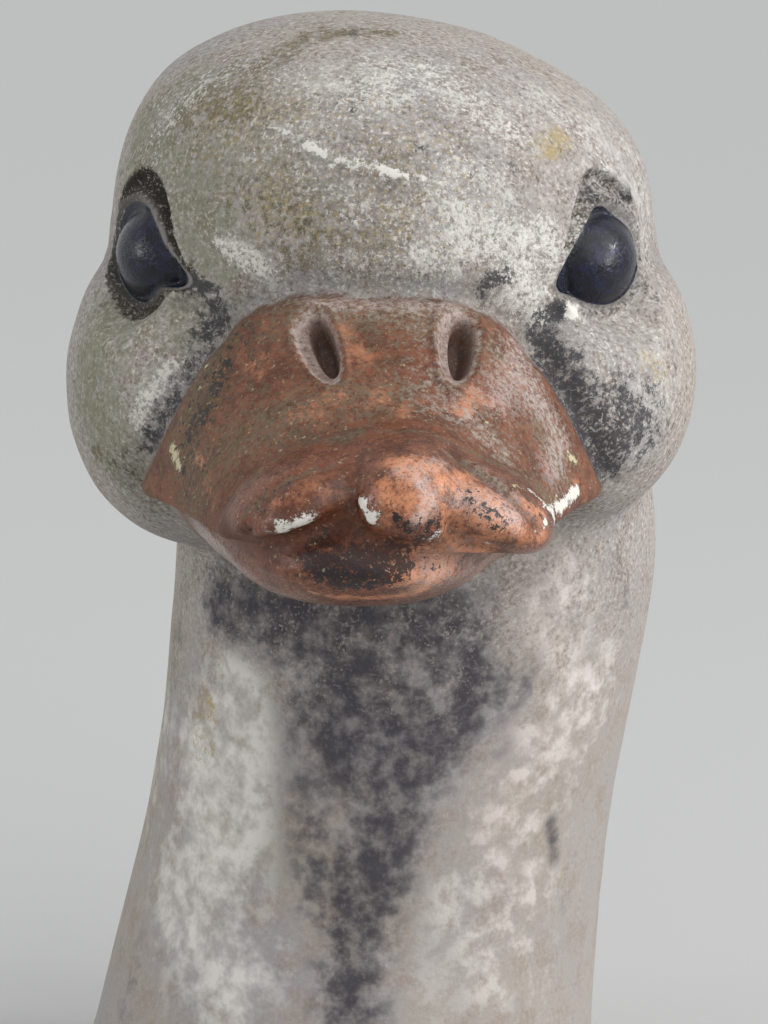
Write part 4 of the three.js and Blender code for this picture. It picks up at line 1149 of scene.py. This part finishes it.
def eye_marks(p):
    """Distance inside the eyes' glaze, dirt and painted shade in the hollows, and the lids' crests and how
    much their wear and painted highlight show.
    """
    inside = np.full(len(p), float(-FAR))
    dirt_and_shade = np.zeros(len(p))
    crest = np.ones(len(p))
    worn = np.zeros(len(p))
    for eye in EYES:
        _, _, out, angle, past = eye_places(p, eye)
        lid = track(angle, ROUND, LID)
        share = np.where(past < lid, past / lid, 1 + (past - lid) / track(angle, ROUND, HOLLOW))
        here = out > -EYE_DEPTH
        inside = np.where(here, np.maximum(inside, eye["glaze"] * lid - past), inside)
        # Dirt on the lid; in the hollow, painted shade that grows with its depth
        deep = np.clip(track(angle, ROUND, HOLLOW_DEPTH) / EYE_MARKS["full_hollow"], 0, 1)
        fade = smooth((EYE_MARKS["dirt_and_shade_end"] - share) / EYE_MARKS["dirt_and_shade_fade"])
        dirt_and_shade = np.maximum(dirt_and_shade, here * eye["dirt_and_shade"] * np.maximum(deep, share < 1) * fade)
        near = here & (share < EYE_MARKS["crest_end"])
        crest = np.where(near, np.abs(share - EYE_MARKS["crest"] - eye["glaze"]), crest)
        worn = np.where(near, track(angle, ROUND, eye["worn"]), worn)
    return inside, dirt_and_shade, np.clip(crest, 0, 1), worn


def write_marks(mesh, q, m, carved):
    """Keeps what the material follows at each point as attributes of the mesh."""
    p = from_head(q)
    marks = dict(zip(("eye", "hollow", "crest", "worn"), eye_marks(p)))
    knob = m["upper"] - np.minimum(m["nail"], m["lobes"])
    marks["bill"] = np.clip(m["face"] - m["bill"], -FAR, FAR)
    marks["tip"] = np.clip(np.maximum(knob, m["top"] - m["lower"]), -FAR, FAR)
    # Painted shade in the grooves: darker the deeper they are carved
    marks["groove"] = np.clip(-carved / FULL_GROOVE, 0, 1)
    marks["slot"] = np.zeros(len(q))
    in_dish = np.zeros(len(q))
    for near, dish, slot in nostrils(p):
        in_dish = np.maximum(in_dish, near * smooth((HOLE_MARK_EDGE - dish) / DISH["mark_bank"]))
        in_slot = near * smooth((HOLE_MARK_EDGE - slot) / SLOT["mark_bank"])
        marks["slot"] = np.maximum(marks["slot"], in_slot)

    # Stains listed one by one in front, and soft uneven ones on the sides and back
    behind = smooth((q[:, 1] - BEHIND_FROM) / BEHIND_RUN)
    for seed, (kind, rows) in enumerate(SOFT_STAINS.items(), STAIN_SEED):
        strength, more = BEHIND.get(kind, (0, 0))
        spread = smooth(STAIN_CONTRAST * lumps(q * STAIN_STRETCH, STAIN_LUMP, seed) + more)
        marks[kind] = np.maximum(cover(q, rows), behind * strength * spread)
    for kind, rows in CRISP_STAINS.items():
        marks[kind] = patch(q, rows)

    # The bill's top and the nostrils' dishes gather dust, its tip is specked black, and the dishes are chalky
    marks["dust"] = 1 - (1 - marks["dust"]) * (1 - TOP_DUST * (marks["tip"] < 0)) * (1 - DISH_DUST * in_dish)
    marks["black"] = np.maximum(marks["black"], TIP_SPECKS * (marks["tip"] > 0))
    marks["blush"] = np.maximum(marks["blush"], in_dish * (1 - SLOT_BARE * marks["slot"]))
    for name, value in marks.items():
        mesh.attributes.new(name, "FLOAT", "POINT").data.foreach_set("value", value.astype(np.float32))


# Material

class Coat(NamedTuple):
    """A coat of paint, grain, dirt or growth over the casting.

    It follows a mark or a pattern, and a second pattern breaks up its edge by so much. It begins to show at
    start and is full at full, eased in and out if it is soft, and shows only within another mark if one is
    named. Its thickness is in millimetres. With no roughness it keeps the gloss of what it lies on.
    """
    follows: str
    colour: str = ""
    pattern: str = ""
    by: float = 0
    start: float = 0
    full: float = 1
    opacity: float = 1
    roughness: float = None
    thickness: float = 0
    soft: bool = True
    within: str = ""


PATTERNS = {
    # Size in millimetres, detail, roughness, distortion, and how far the noise strays from its middle.
    # The real grain, crumbs and dots are about 0.2 mm across. They are drawn coarser, so that they show.
    "drift": (24, 2, 0.5, 0.3, 0.2),
    "mottle": (6, 6, 0.75, 0, 0.12),
    "blotch": (4, 6, 0.8, 0, 0.1),
    "veil": (3.4, 3, 0.62, 0, 0.13),
    "crust": (1.9, 6, 0.84, 0, 0.1),
    "crumb": (0.9, 4, 0.8, 0, 0.12),
    "dots": (0.6, 3, 0.7, 0, 0.2),
}
GRAIN_NOISE = {"Detail": 3, "Roughness": 0.7}
GRAIN_CLEAR = {"from": 78 * MM, "to": 115 * MM, "least": 0.15}
GRAIN_BUMP = 0.12

STONE_ROUGHNESS = 0.9
EYE_ROUGHNESS = 0.08
BILL_ROUGHNESS = {"from": -0.6, "to": 0.8, "dull": 0.6, "glossy": 0.2}
BILL_THICKNESS = 0.05
SPECULAR = 0.4

# Coats from the lowest to the top
STONE_COATS = (
    # The grey itself: cool patches, sandy mottling, dark and light grains
    Coat("drift", "stone_cool", soft=False),
    Coat("mottle", "stone_warm", start=0.45, opacity=0.6, soft=False),
    Coat("grain", "stone_dark", start=0.52, full=0.68, opacity=0.65, roughness=0.95, thickness=-0.05,
         within="clear"),
    Coat("grain", "stone_light", start=0.46, full=0.32, opacity=0.55, roughness=0.95, thickness=0.04,
         within="clear"),
    # Stains, with painted shade in the drips, soot and hollows
    Coat("film", "film", "crust", -0.6, full=0.9, opacity=0.85, roughness=0.8),
    Coat("blush", "blush", "veil", -0.65, full=1.4, opacity=0.8, roughness=0.95, thickness=0.02),
    Coat("wash", "chalk", "veil", -0.6, full=1.35, roughness=0.95, thickness=0.02),
    Coat("drip", "drip", "veil", -0.52, opacity=0.95, roughness=0.9),
    Coat("moss", "moss", "crust", -0.9, full=0.5, opacity=0.75, roughness=0.95, thickness=0.05),
    Coat("ochre", "ochre", "crumb", -0.9, full=0.6, opacity=0.75, roughness=0.95, thickness=0.03),
    Coat("chalk", "chalk", "crust", -0.95, full=0.8, opacity=0.9, roughness=0.95, thickness=0.06),
    Coat("soot", "soot", "crust", -0.85, full=0.5, opacity=0.9, roughness=0.85, thickness=-0.02),
    Coat("chalk", "flake", "dots", -1.3, full=0.5, opacity=0.8, roughness=0.95, thickness=0.05),
    # Dirt and painted shade in the eyes' hollows
    Coat("hollow", "hollow", "crumb", -0.4, full=0.4, opacity=0.95, roughness=0.8),
    # Pits and crumbs through all of them, and painted shade in the grooves, in the soot colour
    Coat("dots", "stone_dark", start=0.55, full=0.9, opacity=0.6, roughness=0.95, thickness=-0.04,
         within="uneven"),
    Coat("dots", "stone_light", start=0.45, full=0.1, opacity=0.6, roughness=0.95, thickness=0.04,
         within="uneven"),
    Coat("groove", "soot", opacity=0.25, roughness=0.9, soft=False),
)
BILL_COATS = (
    Coat("blotch", "dark_terracotta_and_shade", start=0.3, full=0.9, opacity=0.75, soft=False),
    # Fresh paint, and the painted glints beside the nail
    Coat("bare", "bare", "blotch", -0.6, opacity=0.9, roughness=0.3),
    Coat("film", "film", "crust", -0.6, full=0.9, opacity=0.6, roughness=0.9),
    Coat("moss", "moss", "crust", -0.8, full=0.7, opacity=0.8, roughness=0.9),
    # Dust, and painted shade on the bill's left side
    Coat("dust", "dust", "crumb", -0.7, full=0.9, opacity=0.9, roughness=0.9),
    # Pinkish chalk, and the painted highlights on the nail and lobe
    Coat("blush", "blush", "crumb", -0.55, full=1.3, opacity=0.85, roughness=0.6),
    Coat("black", "black", "crumb", -0.95, full=0.3, opacity=0.95, roughness=0.35),
    # Painted shade in the nostrils' deep slots
    Coat("slot", "hollow", "crumb", -0.9, full=0.7, opacity=0.6, roughness=0.8),
    # Painted shade in the bill's grooves, in the dark terracotta
    Coat("groove", "dark_terracotta_and_shade", opacity=0.5, roughness=0.7, soft=False),
    Coat("dots", "dark_terracotta_and_shade", start=0.58, opacity=0.75, roughness=0.7, soft=False),
    Coat("dots", "putty", start=0.2, full=0, opacity=0.5, roughness=0.8, soft=False),
)
EYE_COATS = (Coat("crust", "eye_blue", start=0.3, opacity=0.55, soft=False),)
# The lids' pale crest: part wear, part painted highlight
LID_COATS = (Coat("crest", "lid", start=0.34, full=0.16, roughness=0.8, soft=False, within="worn"),)

# Coats with crisp edges, which follow distances in millimetres: loose flakes over everything, the bill's
# paint with its edge broken by the crust, and the eyes' glaze
FLAKES = (
    Coat("flake", "flake", "crust", 1.4, start=0.8, full=1.1, opacity=0.92, roughness=0.55, thickness=0.07,
         soft=False),
    Coat("putty", "putty", "crust", 1.4, start=0.8, full=1.1, opacity=0.92, roughness=0.75, thickness=0.09,
         soft=False),
)
ON_BILL = Coat("bill", pattern="crust", by=1.2, start=0.9, full=2.1, soft=False)
ON_EYE = Coat("eye", start=-0.1, full=0.12, soft=False)


def add(tree, kind, inputs=(), **settings):
    """Adds a node with its settings. An input takes a value, or another node's socket as a link."""
    node = tree.nodes.new(kind)
    for name, value in settings.items():
        setattr(node, name, value)
    for name, value in dict(inputs).items():
        if isinstance(value, bpy.types.NodeSocket):
            tree.links.new(value, node.inputs[name])
        else:
            node.inputs[name].default_value = value
    return node


def coat_share(tree, coat, marks):
    """How much of a coat shows, from what it follows. Marks that it needs are read from the mesh."""
    for name in (coat.follows, coat.within):
        if name and name not in marks:
            marks[name] = add(tree, "ShaderNodeAttribute", attribute_name=name).outputs["Fac"]
    value = marks[coat.follows]
    if coat.pattern:
        value = add(tree, "ShaderNodeMath", {0: marks[coat.pattern], 1: coat.by, 2: value},
                    operation="MULTIPLY_ADD").outputs[0]
    ramp = "SMOOTHSTEP" if coat.soft else "LINEAR"
    share = add(tree, "ShaderNodeMapRange", {
        "Value": value, "From Min": coat.start, "From Max": coat.full, "To Max": coat.opacity,
    }, interpolation_type=ramp).outputs["Result"]
    if coat.within:
        share = add(tree, "ShaderNodeMath", {0: share, 1: marks[coat.within]},
                    operation="MULTIPLY").outputs[0]
    return share


def lay_over(tree, stack, share, colour, roughness, thickness):
    """Lays one coat over a stack of colour, roughness and height, where share is 1."""
    under, rough, height = stack
    # The Mix node's inputs 6 and 7 are its colours, and 2 and 3 its numbers
    under = add(tree, "ShaderNodeMix", {"Factor": share, 6: under, 7: colour}, data_type="RGBA").outputs[2]
    if roughness is not None:
        rough = add(tree, "ShaderNodeMix", {"Factor": share, 2: rough, 3: roughness}).outputs[0]
    if thickness:
        height = add(tree, "ShaderNodeMath", {0: share, 1: thickness, 2: height},
                     operation="MULTIPLY_ADD").outputs[0]
    return under, rough, height


def lay_coats(tree, stack, coats, marks, colours):
    """Lays each of some coats over a stack."""
    for coat in coats:
        share = coat_share(tree, coat, marks)
        colour = (*getattr(colours, coat.colour), 1)
        stack = lay_over(tree, stack, share, colour, coat.roughness, coat.thickness)
    return stack


def weathered_cast_stone(colours, sizes):
    """Cast stone under old paint that has weathered outdoors."""
    # The stone and its lime paint are dull, chalky and speckled, so they scatter light and hardly mirror it.
    # The bill's oil paint keeps a half gloss at its worn tip. The eyes' glaze is smooth and mirrors windows.
    material = bpy.data.materials.new("weathered_painted_cast_stone")
    material.use_nodes = True
    tree = material.node_tree
    shader = tree.nodes["Principled BSDF"]
    where = add(tree, "ShaderNodeTexCoord").outputs["Object"]

    # Each pattern runs evenly from 0 to 1, and the grain stays as the noise gives it
    marks = {}
    for name, (size, detail, roughness, distortion, stray) in PATTERNS.items():
        noise = add(tree, "ShaderNodeTexNoise", {
            "Vector": where, "Scale": 1 / (size * MM), "Detail": detail, "Roughness": roughness,
            "Distortion": distortion}).outputs["Fac"]
        marks[name] = add(tree, "ShaderNodeMapRange", {
            "Value": noise, "From Min": 0.5 - stray, "From Max": 0.5 + stray}).outputs["Result"]
    marks["grain"] = add(tree, "ShaderNodeTexNoise", {
        "Vector": where, "Scale": 1 / sizes.grain, **GRAIN_NOISE}).outputs["Fac"]

    # The grain is clear on the head and fades down the neck, where the washes lie over it
    up = add(tree, "ShaderNodeSeparateXYZ", {"Vector": where}).outputs["Z"]
    marks["clear"] = add(tree, "ShaderNodeMapRange", {
        "Value": up, "From Min": GRAIN_CLEAR["from"], "From Max": GRAIN_CLEAR["to"],
        "To Min": GRAIN_CLEAR["least"]}).outputs["Result"]
    marks["uneven"] = add(tree, "ShaderNodeMath", {0: marks["mottle"], 1: marks["clear"]},
                          operation="MULTIPLY").outputs[0]

    stone = lay_coats(tree, ((*colours.stone, 1), STONE_ROUGHNESS, 0.0), STONE_COATS, marks, colours)
    tip = add(tree, "ShaderNodeAttribute", attribute_name="tip").outputs["Fac"]
    gloss = add(tree, "ShaderNodeMapRange", {
        "Value": tip, "From Min": BILL_ROUGHNESS["from"], "From Max": BILL_ROUGHNESS["to"],
        "To Min": BILL_ROUGHNESS["dull"], "To Max": BILL_ROUGHNESS["glossy"]}).outputs["Result"]
    bill = lay_coats(tree, ((*colours.terracotta, 1), gloss, 0.0), BILL_COATS, marks, colours)
    eye = lay_coats(tree, ((*colours.eye, 1), EYE_ROUGHNESS, 0.0), EYE_COATS, marks, colours)
    stack = lay_over(tree, stone, coat_share(tree, ON_BILL, marks), bill[0], bill[1], BILL_THICKNESS)
    stack = lay_coats(tree, stack, LID_COATS, marks, colours)
    stack = lay_over(tree, stack, coat_share(tree, ON_EYE, marks), eye[0], eye[1], 0)
    colour, roughness, height = lay_coats(tree, stack, FLAKES, marks, colours)

    # Rough coats show the grain under them in relief, and glossy ones fill it
    relief = add(tree, "ShaderNodeMath", {0: marks["grain"], 1: roughness}, operation="MULTIPLY").outputs[0]
    height = add(tree, "ShaderNodeMath", {0: relief, 1: GRAIN_BUMP, 2: height},
                 operation="MULTIPLY_ADD").outputs[0]
    bump = add(tree, "ShaderNodeBump", {"Height": height, "Distance": MM}).outputs["Normal"]
    tree.links.new(colour, shader.inputs["Base Color"])
    tree.links.new(roughness, shader.inputs["Roughness"])
    tree.links.new(bump, shader.inputs["Normal"])
    shader.inputs["Specular IOR Level"].default_value = SPECULAR
    return material


# Stage

PAPER_ROUGHNESS = 0.9
AIR_COLOUR = (0.97, 0.985, 1, 1)
SENSOR_WIDTH = 36
CAMERA_PLACE = (0.01044, -0.41487, 0.21924)
LIGHTS_AIM = (0.01, -0.03, 0.13)

# Lights: name, kind, place and width in metres, and which strength they take
LIGHTS = (
    ("key", "SUN", (1.9, -1.1, 1.8), 0, "key"),
    ("high_window", "AREA", (0.59, -0.06, 0.39), 0.07, "window"),
    ("low_window", "AREA", (0.6, -0.23, 0.19), 0.09, "window"),
    ("far_window", "AREA", (-0.6, -0.17, 0.28), 0.2, "window"),
)


class GOOSE_OT_bust(bpy.types.Operator):
    """Cast the bust: wrap a sphere's net round the form, make it finer, settle it, carve it and paint it"""
    bl_idname = "goose.bust"
    bl_label = "Goose Bust"

    def execute(self, context):
        sizes = context.scene.goose_sizes
        piece = wrap_sphere(context, sizes)
        piece.name = NODE + "_cast"
        refine(piece)
        carve(piece.data, sizes)
        bpy.ops.object.shade_smooth()
        piece.data.materials.append(weathered_cast_stone(context.scene.goose_colours, sizes))
        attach(piece, "root")
        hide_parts(NODE)
        return {"FINISHED"}


class GOOSE_OT_stage(bpy.types.Operator):
    """Set the plain pale floor, the soft studio light and the camera"""
    bl_idname = "goose.stage"
    bl_label = "Goose Stage"

    def execute(self, context):
        stage = context.scene.goose_stage
        bpy.ops.object.select_all(action="DESELECT")
        bpy.ops.mesh.primitive_plane_add(size=stage.floor)
        floor = context.object
        floor.name = "floor"

        # Matt paper: an even pale ground without gloss
        material = bpy.data.materials.new("matt_paper")
        material.use_nodes = True
        shader = material.node_tree.nodes["Principled BSDF"]
        shader.inputs["Base Color"].default_value = (*stage.floor_colour, 1)
        shader.inputs["Roughness"].default_value = PAPER_ROUGHNESS
        floor.data.materials.append(material)

        world = bpy.data.worlds.new("air")
        context.scene.world = world
        world.use_nodes = True
        air = world.node_tree.nodes["Background"]
        air.inputs["Color"].default_value = AIR_COLOUR
        air.inputs["Strength"].default_value = stage.air

        for name, kind, place, width, strength in LIGHTS:
            bpy.ops.object.light_add(type=kind, location=place)
            light = context.object
            light.name = name
            light.data.energy = getattr(stage, strength)
            light.rotation_euler = (Vector(LIGHTS_AIM) - Vector(place)).to_track_quat("-Z", "Y").to_euler()
            if kind == "SUN":
                light.data.angle = stage.key_width
            else:
                light.data.size = width

        bpy.ops.object.camera_add(location=CAMERA_PLACE, rotation=(math.pi / 2 - stage.look_down, 0, 0))
        camera = context.object
        camera.data.lens = stage.lens
        camera.data.sensor_width = SENSOR_WIDTH
        context.scene.camera = camera
        context.scene.view_settings.view_transform = "Standard"
        return {"FINISHED"}


# Sizes and colours, and the buttons that use them
PANEL_ROWS = (
    ("goose_sizes", GooseSizes, "goose.bust"),
    ("goose_colours", GooseColours, ""),
    ("goose_stage", StageSizes, "goose.stage"),
)


class GOOSE_PT_panel(bpy.types.Panel):
    """Lists the goose's sizes and colours, and the buttons that make it"""
    bl_label = "Garden Goose"
    bl_space_type = "VIEW_3D"
    bl_region_type = "UI"
    bl_category = "Goose"

    def draw(self, context):
        for group, _, operator in PANEL_ROWS:
            box = self.layout.box()
            values = getattr(context.scene, group)
            for name in values.bl_rna.properties.keys():
                if name not in {"rna_type", "name"}:
                    box.prop(values, name)
            if operator:
                box.operator(operator)


CLASSES = (GooseSizes, GooseColours, StageSizes, GOOSE_OT_bust, GOOSE_OT_stage, GOOSE_PT_panel)


def register():
    """Registers the classes and gives the scene its sizes and colours."""
    for cls in CLASSES:
        bpy.utils.register_class(cls)
    for name, group, _ in PANEL_ROWS:
        setattr(bpy.types.Scene, name, PointerProperty(type=group))


def unregister():
    """Takes back what register did."""
    for name, _, _ in PANEL_ROWS:
        delattr(bpy.types.Scene, name)
    for cls in reversed(CLASSES):
        bpy.utils.unregister_class(cls)


def main():
    """Sets the stage and casts the bust."""
    register()
    bpy.ops.goose.stage()
    bpy.ops.goose.bust()


if __name__ == "__main__":
    main()
